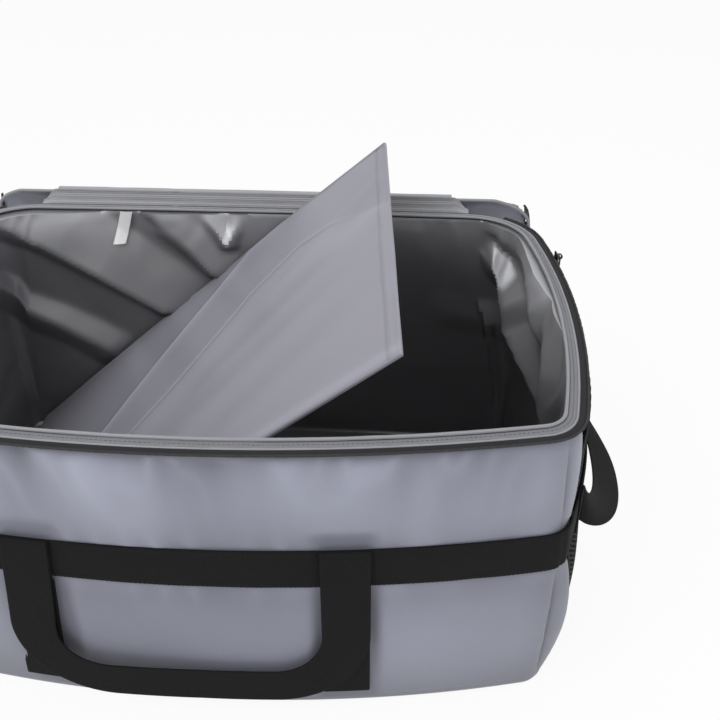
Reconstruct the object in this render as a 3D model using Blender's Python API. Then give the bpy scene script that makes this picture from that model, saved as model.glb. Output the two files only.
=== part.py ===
# An insulated carry bag with its lid thrown back and its stiff base board half lifted out.
# Metres, +Z up. The origin is the centre of the flat bottom; -Y is the front, the lid hinges at the back.
import math

import bmesh
import bpy
from mathutils import Vector

mm = 0.001

# Overall shape of the bag, outside of the cloth
height = 290 * mm
rim_half_width = 286 * mm
rim_half_depth = 178 * mm
base_half_width = 290 * mm
base_half_depth = 172 * mm
barrel_swell = 4 * mm
rim_front_bulge = 30 * mm
base_front_bulge = 33 * mm
rim_side_bulge = 18 * mm
base_side_bulge = 12 * mm
rim_back_bulge = 3 * mm
base_back_bulge = 4 * mm
rim_front_corner = 31 * mm
rim_back_corner = 66 * mm
base_corner = 24 * mm
foot_radius = 14 * mm

# Layers of the wall, from outside to inside
seat_gap = 0.3 * mm
shell_thick = 1.5 * mm
foam_thick = 6.5 * mm
lining_thick = 1.2 * mm

# Trim of the rim
rim_slope = math.radians(4)
binding_width = 7.5 * mm
binding_thick = 1.2 * mm
piping_radius = 1.5 * mm
tape_slope = math.radians(6)
tape_width = 4 * mm
tape_thick = 0.8 * mm
coil_radius = 1.3 * mm
piping_sides = 8
coil_sides = 6

# Steps along the outline, round its corners and up the wall
front_steps = 12
side_steps = 8
back_steps = 8
front_corner_steps = 4
back_corner_steps = 5
zip_end_steps = 3
skirt_end_steps = 4
foot_steps = 3
wall_steps = 4

# How far a panel or band stops short of its seam, as a share of one step of the outline
panel_seam_share = 0.006
band_seam_share = 0.01

# Lid
lid_rise = 13.5 * mm
lid_shell_thick = 1.2 * mm
lid_foam_thick = 7 * mm
lid_lining_thick = 1.2 * mm
skirt_thick = 1.2 * mm
lid_tape_height = 8 * mm
hinge_roll_radius = 1.5 * mm
hinge_reach = 7.5 * mm
hinge_strip_thick = 1.2 * mm
hinge_strip_drop = 24 * mm
hinge_roll_start = math.radians(-100)
hinge_roll_end = math.radians(215)
hinge_roll_steps = 8
lid_open_angle = math.radians(229)

# Webbing
band_rim_drop = 96 * mm
band_width = 38 * mm
web_thick = 1.8 * mm
handle_width = 38 * mm
handle_spacing = 240 * mm
handle_floor_gap = 28 * mm
handle_corner = 58 * mm
handle_play = 0.5 * mm
handle_leg_steps = 4
handle_corner_steps = 6
handle_foot_shares = (2 / 3, 1 / 3, 0.0)
strap_foot = 24 * mm

# Side handles
side_handle_half_span = 112 * mm
side_handle_reach = 26 * mm
side_handle_droop = 46 * mm
side_handle_width = 38 * mm
side_handle_foot = 16 * mm
side_handle_bow_share = 0.62
side_handle_roll = math.radians(48)
side_handle_roll_share = 1.0
side_handle_steps = 24

# Side net pockets
pocket_foot = 26 * mm
pocket_rim_drop = 44 * mm
pocket_bulge = 15 * mm
pocket_crest_share = 0.62
net_thick = 0.8 * mm
hem_height = 12 * mm
hem_thick = 1.0 * mm

# Base board, shown with its right end lifted
board_length = 531 * mm
board_width = 312 * mm
board_core_thick = 4 * mm
board_cloth_thick = 0.8 * mm
board_hem = 7 * mm
board_tilt = math.radians(40)
board_rest_gap = 0.3 * mm

# Zip sliders and their pulls
slider_length = 10 * mm
slider_plate = 1.8 * mm
slider_side_share = 0.72
slider_lip_share = 1.5
slider_crown_share = 3.0
bail_width = 3 * mm
bail_hole = 3.6 * mm
bail_bar = 1.4 * mm
pull_width = 7.2 * mm
pull_thick = 1.2 * mm
pull_length = 27 * mm
pull_slot = 6.4 * mm
pull_play = 0.5 * mm

# Care label, left blank
label_width = 13 * mm
label_length = 31 * mm
label_thick = 0.6 * mm
label_left = 132 * mm
label_drop = 5 * mm

# Places of the layers and trims that follow from the sizes above
foam_from = shell_thick + seat_gap
lining_from = foam_from + foam_thick + seat_gap
wall_depth = lining_from + lining_thick
binding_inner = lining_from - seat_gap
piping_level = height - seat_gap + piping_radius / 2
tape_start = binding_inner - (binding_width + seat_gap) * math.cos(rim_slope)
tape_start_drop = seat_gap + (binding_width + seat_gap) * math.sin(rim_slope)
coil_reach = tape_width + seat_gap + coil_radius
coil_depth = tape_start - coil_reach * math.cos(tape_slope)
coil_level = height - tape_start_drop - coil_reach * math.sin(tape_slope)
lid_coil_level = coil_level + 2 * coil_radius + seat_gap
lid_top = height + lid_rise
hinge_y = rim_half_depth + hinge_reach
band_top = height - band_rim_drop
band_low = band_top - band_width
handle_drop = band_top - handle_floor_gap
pocket_top = height - pocket_rim_drop
floor_top = wall_depth
handle_stand = 2 * (seat_gap + web_thick) + seat_gap + handle_play

panels = ("front", "right", "back", "left")

# Limits of the working: the flattest bow, the finest weld, what counts as an edge, and halvings of a search
least_turn = 0.0001
weld_distance = seat_gap / 100
sharp_edge = math.radians(35)
search_steps = 40


def clear_scene():
    for obj in list(bpy.data.objects):
        bpy.data.objects.remove(obj)


def material(name, colour, roughness, metallic=0.0):
    made = bpy.data.materials.new(name)
    made.use_nodes = True
    shader = made.node_tree.nodes["Principled BSDF"]
    shader.inputs["Base Color"].default_value = (*colour, 1.0)
    shader.inputs["Roughness"].default_value = roughness
    shader.inputs["Metallic"].default_value = metallic
    return made


def between(low, high, share):
    return low + (high - low) * share


# Plan outline of the bag at a height: four bowed sides joined by round corners
def heading(angle):
    return Vector((math.cos(angle), math.sin(angle)))


def bow(end, turn, t):
    """A shallow arc over a chord of half length end: how far along the chord, and how far off it."""
    angle = turn * t
    return end * math.sin(angle) / math.sin(turn), end * (math.cos(angle) - math.cos(turn)) / math.sin(turn)


def plan_at(z):
    """Centres and radii of the right-hand corners at a height, and how far the bow of each side turns."""
    share = min(max(z / height, 0.0), 1.0)
    swell = barrel_swell * math.sin(math.pi * share)
    half_width = between(base_half_width, rim_half_width, share) + swell
    half_depth = between(base_half_depth, rim_half_depth, share) + swell * (1 - share)
    front_corner = between(base_corner, rim_front_corner, share)
    back_corner = between(base_corner, rim_back_corner, share ** 2)
    turns = {
        "front": 2 * math.atan(between(base_front_bulge, rim_front_bulge, share) / half_width),
        "side": 2 * math.atan(between(base_side_bulge, rim_side_bulge, share) / half_depth),
        "back": max(2 * math.atan(between(base_back_bulge, rim_back_bulge, share) / half_width), least_turn),
    }
    front_centre = Vector((half_width - front_corner, front_corner - half_depth))
    back_centre = Vector((half_width - back_corner, half_depth - back_corner))
    return front_centre, front_corner, back_centre, back_corner, turns


def outline(place, z):
    """The outline's point and outward normal at a place: (stretch, share along it, side of +1 or -1)."""
    stretch, t, side = place
    front_centre, front_corner, back_centre, back_corner, turns = plan_at(z)
    front_turn, side_turn, back_turn = turns["front"], turns["side"], turns["back"]
    quarter = math.pi / 2
    if stretch == "front":
        angle = front_turn * t - quarter
        along, off = bow(front_centre.x + front_corner * math.sin(front_turn), front_turn, t)
        point = Vector((along, front_centre.y - front_corner * math.cos(front_turn) - off))
    elif stretch == "front_corner":
        angle = between(front_turn, quarter - side_turn, t) - quarter
        point = front_centre + front_corner * heading(angle)
    elif stretch == "side":
        angle = side_turn * t
        near = front_centre + front_corner * heading(-side_turn)
        far = back_centre + back_corner * heading(side_turn)
        along, off = bow((far.y - near.y) / 2, side_turn, t)
        point = Vector((between(near.x, far.x, (t + 1) / 2) + off, (near.y + far.y) / 2 + along))
    elif stretch == "back_corner":
        angle = between(side_turn, quarter - back_turn, t)
        point = back_centre + back_corner * heading(angle)
    else:
        angle = quarter - back_turn * t
        along, off = bow(back_centre.x + back_corner * math.sin(back_turn), back_turn, t)
        point = Vector((along, back_centre.y + back_corner * math.cos(back_turn) + off))
    normal = heading(angle)
    return Vector((side * point.x, point.y)), Vector((side * normal.x, normal.y))


def wall_point(place, climb, depth):
    """A point this deep behind the wall's outer face. Below foot_radius the wall curls in under the bag."""
    if climb < foot_radius:
        turn = (1 - climb / foot_radius) * math.pi / 2
        radius = foot_radius - depth
        point, normal = outline(place, foot_radius)
        flat = point - normal * (foot_radius - radius * math.cos(turn))
        return Vector((*flat, foot_radius - radius * math.sin(turn)))
    point, normal = outline(place, climb)
    return Vector((*(point - normal * depth), climb))


def stretch_places(stretch, count, start=-1.0, end=1.0, side=1):
    return [(stretch, between(start, end, i / count), side) for i in range(count + 1)]


def side_places(side=1, end_steps=back_corner_steps):
    """Round the front corner, along the side and this many steps round the back corner."""
    front = stretch_places("front_corner", front_corner_steps, 0.0, 1.0, side)
    middle = stretch_places("side", side_steps, -1.0, 1.0, side)
    back = stretch_places("back_corner", back_corner_steps, 0.0, 1.0, side)
    return front + middle[1:] + back[1:end_steps + 1]


def front_places():
    return stretch_places("front", front_steps)


def back_places():
    return stretch_places("back", back_steps)


def three_sides(end_steps=zip_end_steps):
    """From the back left corner round the front to the back right corner."""
    left = side_places(-1, end_steps)[::-1]
    return left + front_places()[1:-1] + side_places(1, end_steps)


def all_round():
    return side_places(-1)[::-1] + front_places()[1:-1] + side_places(1) + back_places()[::-1][1:-1]


def new_object(name, mesh_builder, finish):
    mesh = bpy.data.meshes.new(name)
    builder = bmesh.new()
    mesh_builder(builder)
    bmesh.ops.remove_doubles(builder, verts=builder.verts, dist=weld_distance)
    bmesh.ops.recalc_face_normals(builder, faces=builder.faces)
    builder.to_mesh(mesh)
    builder.free()
    mesh.materials.append(finish)
    mesh.shade_smooth()
    mesh.set_sharp_from_angle(angle=sharp_edge)
    obj = bpy.data.objects.new(name, mesh)
    bpy.context.scene.collection.objects.link(obj)
    return obj


def rings_to_faces(builder, rings, closed):
    """Skins a list of equal rings of points. An open run gets a cap at each end."""
    made = [[builder.verts.new(p) for p in ring] for ring in rings]
    pairs = list(zip(made, made[1:])) + ([(made[-1], made[0])] if closed else [])
    count = len(made[0])
    for a, b in pairs:
        for i in range(count):
            j = (i + 1) % count
            builder.faces.new((a[i], a[j], b[j], b[i]))
    if not closed:
        builder.faces.new(made[0][::-1])
        builder.faces.new(made[-1])


def sweep(name, places, section, finish, closed=False):
    """Carries a section, a function from place to a list of (level, depth), along the wall."""
    rings = [[wall_point(place, z, depth) for z, depth in section(place)] for place in places]
    return new_object(name, lambda builder: rings_to_faces(builder, rings, closed), finish)


def rim_of(rows):
    """The outer edge of a grid of points, once round."""
    right, left = [row[-1] for row in rows[1:-1]], [row[0] for row in rows[-2:0:-1]]
    return rows[0] + right + rows[-1][::-1] + left


def sheet(name, outer, inner, finish):
    """A closed sheet between two grids of points of the same size."""
    def build(builder):
        rows = [[builder.verts.new(p) for p in row] for row in outer]
        backs = [[builder.verts.new(p) for p in row] for row in inner]
        for grid in (rows, backs):
            for a, b in zip(grid, grid[1:]):
                for i in range(len(a) - 1):
                    builder.faces.new((a[i], a[i + 1], b[i + 1], b[i]))
        edge, back = rim_of(rows), rim_of(backs)
        for i in range(len(edge)):
            j = (i + 1) % len(edge)
            builder.faces.new((edge[i], edge[j], back[j], back[i]))
    return new_object(name, build, finish)


def prism(name, loop, low, high, finish):
    """A flat plate: a closed loop of (x, y) between two levels."""
    def build(builder):
        rings = [[Vector((*p, z)) for p in loop] for z in (low, high)]
        rings_to_faces(builder, rings, False)
    return new_object(name, build, finish)


def box_between(name, low, high, finish):
    loop = [(low[0], low[1]), (high[0], low[1]), (high[0], high[1]), (low[0], high[1])]
    return prism(name, loop, low[2], high[2], finish)


def slanted_strip(depth, level, slope, width, thick):
    """Corners of a strip that starts at a depth and level and runs outwards and down."""
    along = (-math.sin(slope) * width, -math.cos(slope) * width)
    across = (-math.cos(slope) * thick, math.sin(slope) * thick)
    start = (level, depth)
    return [start, (start[0] + along[0], start[1] + along[1]),
            (start[0] + along[0] + across[0], start[1] + along[1] + across[1]),
            (start[0] + across[0], start[1] + across[1])]


def round_section(level, depth, radius, sides):
    turns = [2 * math.pi * i / sides for i in range(sides)]
    return [(level + radius * math.sin(a), depth + radius * math.cos(a)) for a in turns]


def hang(obj, pivot, turn, axis):
    """Puts an object's origin on its joint's axis and turns it to its resting pose."""
    for vertex in obj.data.vertices:
        vertex.co -= pivot
    obj.location = pivot
    obj.rotation_euler[axis] = turn
    return obj


# The wall: cloth outside, foam between, lining inside
def under_binding(depth):
    """How high a layer reaches at a depth, just under the slanting binding."""
    drop = (binding_inner - depth) * math.tan(rim_slope) + binding_thick / math.cos(rim_slope)
    return height - 2 * seat_gap - drop


def wall_rows():
    """Levels where the wall, band, straps and pockets all have a row of points, so that they lie snugly."""
    levels = [between(foot_radius, band_low, i / wall_steps) for i in range(wall_steps + 1)]
    return levels + [band_top]


def wall_layer(name, places, depth, thick, tops, finish):
    def climbs(top):
        foot = [foot_radius * i / foot_steps for i in range(foot_steps)]
        return foot + wall_rows() + [top]
    outer = [[wall_point(place, z, depth) for z in climbs(tops[0])] for place in places]
    inner = [[wall_point(place, z, depth + thick) for z in climbs(tops[1])] for place in places]
    return sheet(name, outer, inner, finish)


def floor_loop(inset):
    """The flat bottom's outline, just inside the curl of the walls."""
    places = all_round()
    return [wall_point(place, foot_radius, foot_radius + inset).to_2d() for place in places]


def seam_trimmed(places, seam_share):
    """Draws the ends of a run of places in a little, so that panels meet at a seam and don't overlap."""
    def drawn(place, towards):
        return (place[0], between(place[1], towards[1], seam_share), place[2])
    return [drawn(places[0], places[1])] + places[1:-1] + [drawn(places[-1], places[-2])]


def build_walls(cloth, foam, lining):
    seam = panel_seam_share
    runs = {"front": seam_trimmed(front_places(), seam), "back": seam_trimmed(back_places(), seam),
            "right": seam_trimmed(side_places(1), seam), "left": seam_trimmed(side_places(-1), seam)}
    for where in panels:
        places = runs[where]
        wall_layer("shell_" + where, places, 0.0, shell_thick,
                   (under_binding(0.0), under_binding(0.0)), cloth)
        wall_layer("foam_" + where, places, foam_from, foam_thick,
                   (under_binding(foam_from), under_binding(foam_from + foam_thick)), foam)
        lining_top = under_binding(lining_from)
        wall_layer("lining_" + where, places, lining_from, lining_thick,
                   (lining_top, lining_top), lining)
    loop = floor_loop(seat_gap)
    prism("shell_bottom", loop, 0.0, shell_thick, cloth)
    prism("foam_bottom", loop, foam_from, foam_from + foam_thick, foam)
    prism("lining_bottom", loop, lining_from, floor_top, lining)


def build_rim(trim, tape, coil):
    places = all_round()
    sweep("rim_binding", places,
          lambda place: slanted_strip(binding_inner, height - seat_gap, rim_slope,
                                      binding_width, binding_thick),
          trim, closed=True)
    sweep("rim_piping", places,
          lambda place: round_section(piping_level, binding_inner + seat_gap + piping_radius, piping_radius,
                                      piping_sides),
          trim, closed=True)
    sweep("zip_tape_base", three_sides(),
          lambda place: slanted_strip(tape_start, height - tape_start_drop, tape_slope,
                                      tape_width, tape_thick),
          tape)
    sweep("zip_coil_base", three_sides(),
          lambda place: round_section(coil_level, coil_depth, coil_radius, coil_sides), coil)


def build_hinge_strip(trim):
    """The fold that carries the lid: a strip up the back wall that ends in a roll on the hinge's axis."""
    thick, low = hinge_strip_thick, lid_top - hinge_strip_drop
    knee = lid_top - 2 * hinge_roll_radius - thick
    turns = [between(hinge_roll_start, hinge_roll_end, i / hinge_roll_steps)
             for i in range(hinge_roll_steps + 1)]
    roll = [Vector((0, hinge_y + hinge_roll_radius * math.cos(a), lid_top + hinge_roll_radius * math.sin(a)))
            for a in turns]
    rings = []
    for place in back_places():
        x = outline(place, height)[0].x
        outer = [wall_point(place, z, -seat_gap - thick) for z in (low, height)]
        inner = [wall_point(place, z, -seat_gap) for z in (height, low)]
        rings.append(outer + [Vector((x, hinge_y, knee))] + [Vector((x, point.y, point.z)) for point in roll]
                     + [Vector((x, hinge_y - hinge_roll_radius - thick, knee + thick))] + inner)
    new_object("hinge_strip", lambda builder: rings_to_faces(builder, rings, False), trim)


# The lid, built closed and then turned back about its hinge
def lid_loop(depth, back_depth):
    points = []
    for place in all_round():
        point, normal = outline(place, height)
        points.append(point - normal * (back_depth if place[0] == "back" else depth))
    edge = outline(("back", 1.0, 1), height)[0]
    return [p for p in points if p.y <= edge.y - back_depth + weld_distance]


def build_lid(cloth, foam, lining, trim, tape, coil):
    pivot = Vector((0, hinge_y, lid_top))
    skirt_outer = coil_depth - skirt_thick / 2
    skirt_inner = coil_depth + skirt_thick / 2
    plate_back = -(hinge_reach - hinge_roll_radius - seat_gap)
    under_plate = lid_top - lid_shell_thick - seat_gap
    under_foam = under_plate - lid_foam_thick - seat_gap
    tape_top = lid_coil_level + coil_radius + seat_gap + lid_tape_height
    made = [
        prism("lid_shell", lid_loop(skirt_outer, plate_back),
              lid_top - lid_shell_thick, lid_top, cloth),
        prism("lid_foam", lid_loop(skirt_inner + seat_gap, seat_gap),
              under_plate - lid_foam_thick, under_plate, foam),
        prism("lid_lining", lid_loop(skirt_inner + seat_gap, seat_gap),
              under_foam - lid_lining_thick, under_foam, lining),
        sweep("lid_skirt", three_sides(skirt_end_steps),
              lambda place: [(tape_top + seat_gap, skirt_outer), (under_plate, skirt_outer),
                             (under_plate, skirt_inner), (tape_top + seat_gap, skirt_inner)], trim),
        sweep("zip_tape_lid", three_sides(),
              lambda place: [(tape_top - lid_tape_height, coil_depth - tape_thick / 2),
                             (tape_top, coil_depth - tape_thick / 2),
                             (tape_top, coil_depth + tape_thick / 2),
                             (tape_top - lid_tape_height, coil_depth + tape_thick / 2)], tape),
        sweep("zip_coil_lid", three_sides(),
              lambda place: round_section(lid_coil_level, coil_depth, coil_radius, coil_sides), coil),
    ]
    for obj in made:
        hang(obj, pivot, -lid_open_angle, 0)


# Webbing: a band round the bag, straps up the front and back, and four handles
def place_where(stretch, side, axis, wanted, z):
    """The place on a stretch where the outline passes this coordinate, x for axis 0 and y for axis 1."""
    low, high = -1.0, 1.0
    for _ in range(search_steps):
        middle = (low + high) / 2
        if outline((stretch, middle, side), z)[0][axis] < wanted:
            low = middle
        else:
            high = middle
    return (stretch, (low + high) / 2, side)


def pocket_stand(place, z):
    """How far the side net stands off the wall, nothing at its sewn edges."""
    if place[0] != "side":
        return 0.0
    rise = min(max((z - pocket_foot) / (pocket_top - pocket_foot), 0.0), 1.0)
    return pocket_bulge * (1 - place[1] ** 2) * math.sin(rise * math.pi * pocket_crest_share)


def build_band(webbing):
    for where, places in (("front", front_places()), ("back", back_places())):
        sweep("band_" + where, seam_trimmed(places, band_seam_share),
              lambda place: [(band_low, -seat_gap), (band_top, -seat_gap),
                             (band_top, -seat_gap - web_thick), (band_low, -seat_gap - web_thick)], webbing)
    for where, side in (("right", 1), ("left", -1)):
        def section(place):
            low = -(2 * seat_gap + net_thick + pocket_stand(place, band_low))
            high = -(2 * seat_gap + net_thick + pocket_stand(place, band_top))
            return [(band_low, low), (band_top, high),
                    (band_top, high - web_thick), (band_low, low - web_thick)]
        sweep("band_" + where, seam_trimmed(side_places(side), band_seam_share), section, webbing)


def strap_point(face, x, z, depth):
    return wall_point(place_where(face, 1, 0, x, max(z, foot_radius)), z, depth)


def build_straps(webbing):
    """The sewn lower half of each handle: up the wall from the bottom seam and over the band."""
    lift = seat_gap + web_thick
    levels = [strap_foot] + wall_rows()[1:wall_steps] + [band_low - lift, band_low, band_top]
    lifts = [0.0] * (wall_steps + 1) + [lift + seat_gap] * 2
    for face in ("front", "back"):
        for where, centre in (("left", -handle_spacing / 2), ("right", handle_spacing / 2)):
            outer, inner = [], []
            for side in (-1, 0, 1):
                x = centre + side * handle_width / 2
                outer.append([strap_point(face, x, z, -seat_gap - rise - web_thick)
                              for z, rise in zip(levels, lifts)])
                inner.append([strap_point(face, x, z, -seat_gap - rise)
                              for z, rise in zip(levels, lifts)])
            sheet("strap_" + face + "_" + where, outer, inner, webbing)


def handle_centreline():
    """The loop's middle line as (x, drop, direction across it): down one leg, round, and up the other."""
    half, corner, drop = handle_spacing / 2, handle_corner, handle_drop - handle_width / 2
    leg = drop - corner
    points = [(-half, leg * i / handle_leg_steps, (-1.0, 0.0)) for i in range(handle_leg_steps)]
    for i in range(handle_corner_steps + 1):
        turn = math.pi / 2 * i / handle_corner_steps
        points.append((corner * (1 - math.cos(turn)) - half, leg + corner * math.sin(turn),
                       (-math.cos(turn), math.sin(turn))))
    points += [((corner - half) * share, drop, (0.0, 1.0)) for share in handle_foot_shares]
    mirrored = [(-x, down, (-across[0], across[1])) for x, down, across in points[-2::-1]]
    return points + mirrored


def build_handle(face, webbing):
    rings, near, far = [], handle_stand, handle_stand + web_thick
    for x, drop, across in handle_centreline():
        ring = []
        for sign, depth in ((-1, -near), (1, -near), (1, -far), (-1, -far)):
            edge_x = x + sign * across[0] * handle_width / 2
            level = band_top - drop - sign * across[1] * handle_width / 2
            ring.append(strap_point(face, edge_x, level, depth))
        rings.append(ring)
    obj = new_object("handle_" + face, lambda builder: rings_to_faces(builder, rings, False), webbing)
    hang(obj, handle_pivot(face), 0.0, 0)


def handle_pivot(face):
    point = strap_point(face, handle_spacing / 2, band_top, -handle_stand)
    return Vector((0, point.y, band_top))


def side_surface(y, z, side, play):
    """A strap's inner face lies here: on the side band, with some play."""
    place = place_where("side", side, 1, y, z)
    stand = 2 * seat_gap + net_thick + web_thick + play
    return wall_point(place, z, -(stand + pocket_stand(place, z)))


def side_handle_pivot(side):
    """The loop swings about the upper edge of its sewn ends."""
    middle_y = outline(("side", 0.0, side), band_top)[0].y
    ends = [side_surface(middle_y + reach, band_top, side, handle_play)
            for reach in (-side_handle_half_span, side_handle_half_span)]
    return Vector(((ends[0].x + ends[1].x) / 2, middle_y, band_top))


def side_handle_ring(y, bow_out, side, play):
    """The strap's section at y, bowed out, let down and laid over on its flat by a share of the full bow."""
    roll = side_handle_roll * min(1.0, bow_out / side_handle_roll_share)
    low = side_surface(y, band_top - side_handle_width, side, play)
    high = side_surface(y, band_top, side, play)
    flat = outline(place_where("side", side, 1, y, band_top), band_top)[1]
    out, up = Vector((*flat, 0)), Vector((0, 0, 1))
    half = (high - low) / 2
    half = Vector((half.x, half.y, 0)) + (up * math.cos(roll) - out * math.sin(roll)) * half.z
    middle = (low + high) / 2 + out * (side_handle_reach * bow_out) - up * (side_handle_droop * bow_out)
    thick = (out * math.cos(roll) + up * math.sin(roll)) * web_thick
    return [middle - half, middle + half, middle + half + thick, middle - half + thick]


def build_side_handle(where, side, webbing):
    """A webbing loop whose ends are sewn flat to the side band, and whose free part swings from their top."""
    pivot, rings = side_handle_pivot(side), []
    free = side_handle_half_span - seat_gap / 2
    for i in range(side_handle_steps + 1):
        reach = between(-free, free, i / side_handle_steps)
        share = max(0.0, 1 - (reach / side_handle_half_span) ** 2)
        rings.append(side_handle_ring(pivot.y + reach, share ** side_handle_bow_share, side, handle_play))
    obj = new_object("handle_" + where, lambda builder: rings_to_faces(builder, rings, False), webbing)
    hang(obj, pivot, 0.0, 1)

    near, far = side_handle_half_span + seat_gap / 2, side_handle_half_span + side_handle_foot
    for end, sign in (("front", -1), ("back", 1)):
        sewn = [side_handle_ring(pivot.y + sign * reach, 0.0, side, seat_gap)
                for reach in (near, (near + far) / 2, far)]
        new_object("handle_end_" + where + "_" + end,
                   lambda builder: rings_to_faces(builder, sewn, False), webbing)


def build_pocket(where, side, net, elastic):
    places = stretch_places("side", side_steps, -1.0, 1.0, side)
    levels = [pocket_foot] + wall_rows()[1:] + [pocket_top - hem_height - seat_gap]

    def face(stand):
        return [[wall_point(p, z, -(stand + pocket_stand(p, z))) for z in levels] for p in places]
    sheet("net_pocket_" + where, face(seat_gap + net_thick), face(seat_gap), net)

    def section(place):
        low, high = pocket_top - hem_height, pocket_top
        stand = seat_gap + pocket_stand(place, low)
        return [(low, -stand), (high, -stand), (high, -stand - hem_thick), (low, -stand - hem_thick)]
    sweep("net_hem_" + where, places, section, elastic)


# The base board: a stiff core in a cloth cover, tipped up about its lower left edge
def board_pivot():
    return Vector((-board_length / 2, 0, floor_top + board_rest_gap))


def build_board(cover, core):
    pivot = board_pivot()
    bottom = floor_top + board_rest_gap
    half = Vector((board_length / 2, board_width / 2))
    hem = Vector((board_hem, board_hem))
    lower, upper = half, half - hem
    cloth, gap = board_cloth_thick, seat_gap
    box_between("board_cover_under", (-lower.x, -lower.y, bottom),
                (lower.x, lower.y, bottom + cloth), cover)
    core_low = bottom + cloth + gap
    box_between("board_core", (-upper.x + cloth, -upper.y + cloth, core_low),
                (upper.x - cloth, upper.y - cloth, core_low + board_core_thick), core)
    top = core_low + board_core_thick + gap

    def tray(builder):
        outer = [(-lower.x, -lower.y), (lower.x, -lower.y), (lower.x, lower.y), (-lower.x, lower.y)]
        raised = [(-upper.x, -upper.y), (upper.x, -upper.y), (upper.x, upper.y), (-upper.x, upper.y)]
        inside = upper - Vector((cloth - gap, cloth - gap))
        inner = [(-inside.x, -inside.y), (inside.x, -inside.y), (inside.x, inside.y), (-inside.x, inside.y)]
        rings = [[Vector((*p, top)) for p in inner], [Vector((*p, core_low)) for p in inner],
                 [Vector((*p, core_low)) for p in outer], [Vector((*p, core_low + cloth)) for p in outer],
                 [Vector((*p, core_low + cloth)) for p in raised],
                 [Vector((*p, top + cloth)) for p in raised]]
        rings_to_faces(builder, rings, False)
    new_object("board_cover_upper", tray, cover)
    for name in ("board_cover_under", "board_core", "board_cover_upper"):
        hang(bpy.data.objects[name], pivot, -board_tilt, 1)


# Zip sliders on the sides, each with a pull that swings on its bail
def slider_frame(side):
    """Where a slider sits: the coil's point, the outward direction and the direction along the coil."""
    place = ("side", slider_side_share, side)
    normal = outline(place, coil_level)[1]
    out = Vector((normal.x, normal.y, 0))
    along = Vector((0, 0, 1)).cross(out)
    return wall_point(place, coil_level, coil_depth), out, along


def frame_block(name, frame, loop, width, finish):
    """Extrudes a loop of (outwards, up) along the coil, to both sides of a frame's origin."""
    origin, out, along = frame
    rings = [[origin + out * p[0] + Vector((0, 0, p[1])) + along * s for p in loop]
             for s in (-width / 2, width / 2)]
    return new_object(name, lambda builder: rings_to_faces(builder, rings, False), finish)


def pull_offset():
    """The bail's hole is centred here: (outwards, up) from the coil."""
    plate_out = coil_radius + seat_gap + slider_plate
    return plate_out + bail_hole / 2, coil_radius + seat_gap / 2


def build_slider(where, side, metal):
    frame = slider_frame(side)
    near, lip = coil_radius + seat_gap, slider_lip_share * coil_radius
    far = near + slider_plate
    low, high = -near - slider_plate, slider_crown_share * coil_radius + near
    loop = [(-lip, low), (far, low), (far, high), (near, high), (near, -near), (-lip, -near)]
    body = frame_block("slider_" + where, frame, loop, slider_length, metal)
    out, up = pull_offset()
    half, bar = bail_hole / 2, bail_bar
    root, tip = far - bar, out + half
    arch = [(root, up - half - bar), (tip + bar, up - half - bar), (tip + bar, up + half + bar),
            (root, up + half + bar), (root, up + half), (tip, up + half),
            (tip, up - half), (root, up - half)]
    bail = frame_block("bail_form_" + where, frame, arch, bail_width, metal)
    bail.hide_render = True
    bail.display_type = "WIRE"
    union = body.modifiers.new("bail", "BOOLEAN")
    union.operation = "UNION"
    union.object = bail
    origin, outward, along = frame
    pivot = origin + outward * out + Vector((0, 0, up))
    cells_y = [-pull_width / 2, -bail_width / 2 - pull_play, bail_width / 2 + pull_play, pull_width / 2]
    cells_z = [-pull_length, -pull_slot, -pull_thick / 2, pull_thick / 2]
    empty = {(1, 1)}
    pull_plate("pull_" + where, pivot, outward, along, cells_y, cells_z, empty, metal)
    return pivot


def pull_plate(name, pivot, outward, along, cells_y, cells_z, empty, finish):
    """A flat plate made of cells, with the empty ones left open for the bail."""
    def corner(i, j, face):
        return pivot + along * cells_y[i] + Vector((0, 0, cells_z[j])) + outward * face * pull_thick / 2

    def build(builder):
        filled = {(i, j) for i in range(len(cells_y) - 1) for j in range(len(cells_z) - 1)} - empty
        verts = {}

        def vert(i, j, face):
            if (i, j, face) not in verts:
                verts[i, j, face] = builder.verts.new(corner(i, j, face))
            return verts[i, j, face]
        for i, j in sorted(filled):
            square = [(i, j), (i + 1, j), (i + 1, j + 1), (i, j + 1)]
            for face in (-1, 1):
                builder.faces.new([vert(*c, face) for c in square])
            sides = (((i, j - 1), square[0], square[1]), ((i + 1, j), square[1], square[2]),
                     ((i, j + 1), square[2], square[3]), ((i - 1, j), square[3], square[0]))
            for neighbour, a, b in sides:
                if neighbour not in filled:
                    builder.faces.new([vert(*a, -1), vert(*b, -1), vert(*b, 1), vert(*a, 1)])
    obj = new_object(name, build, finish)
    return hang(obj, pivot, 0.0, 1)


def build_label(cloth):
    """Hangs from the seam under the piping, flat against the lining of the back wall."""
    def face(depth):
        return [[wall_point(place_where("back", 1, 0, x, z), z, depth)
                 for z in (height - label_drop - label_length, height - label_drop)]
                for x in (-label_left - label_width, -label_left)]
    near = wall_depth + seat_gap
    sheet("care_label", face(near + label_thick), face(near), cloth)


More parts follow.
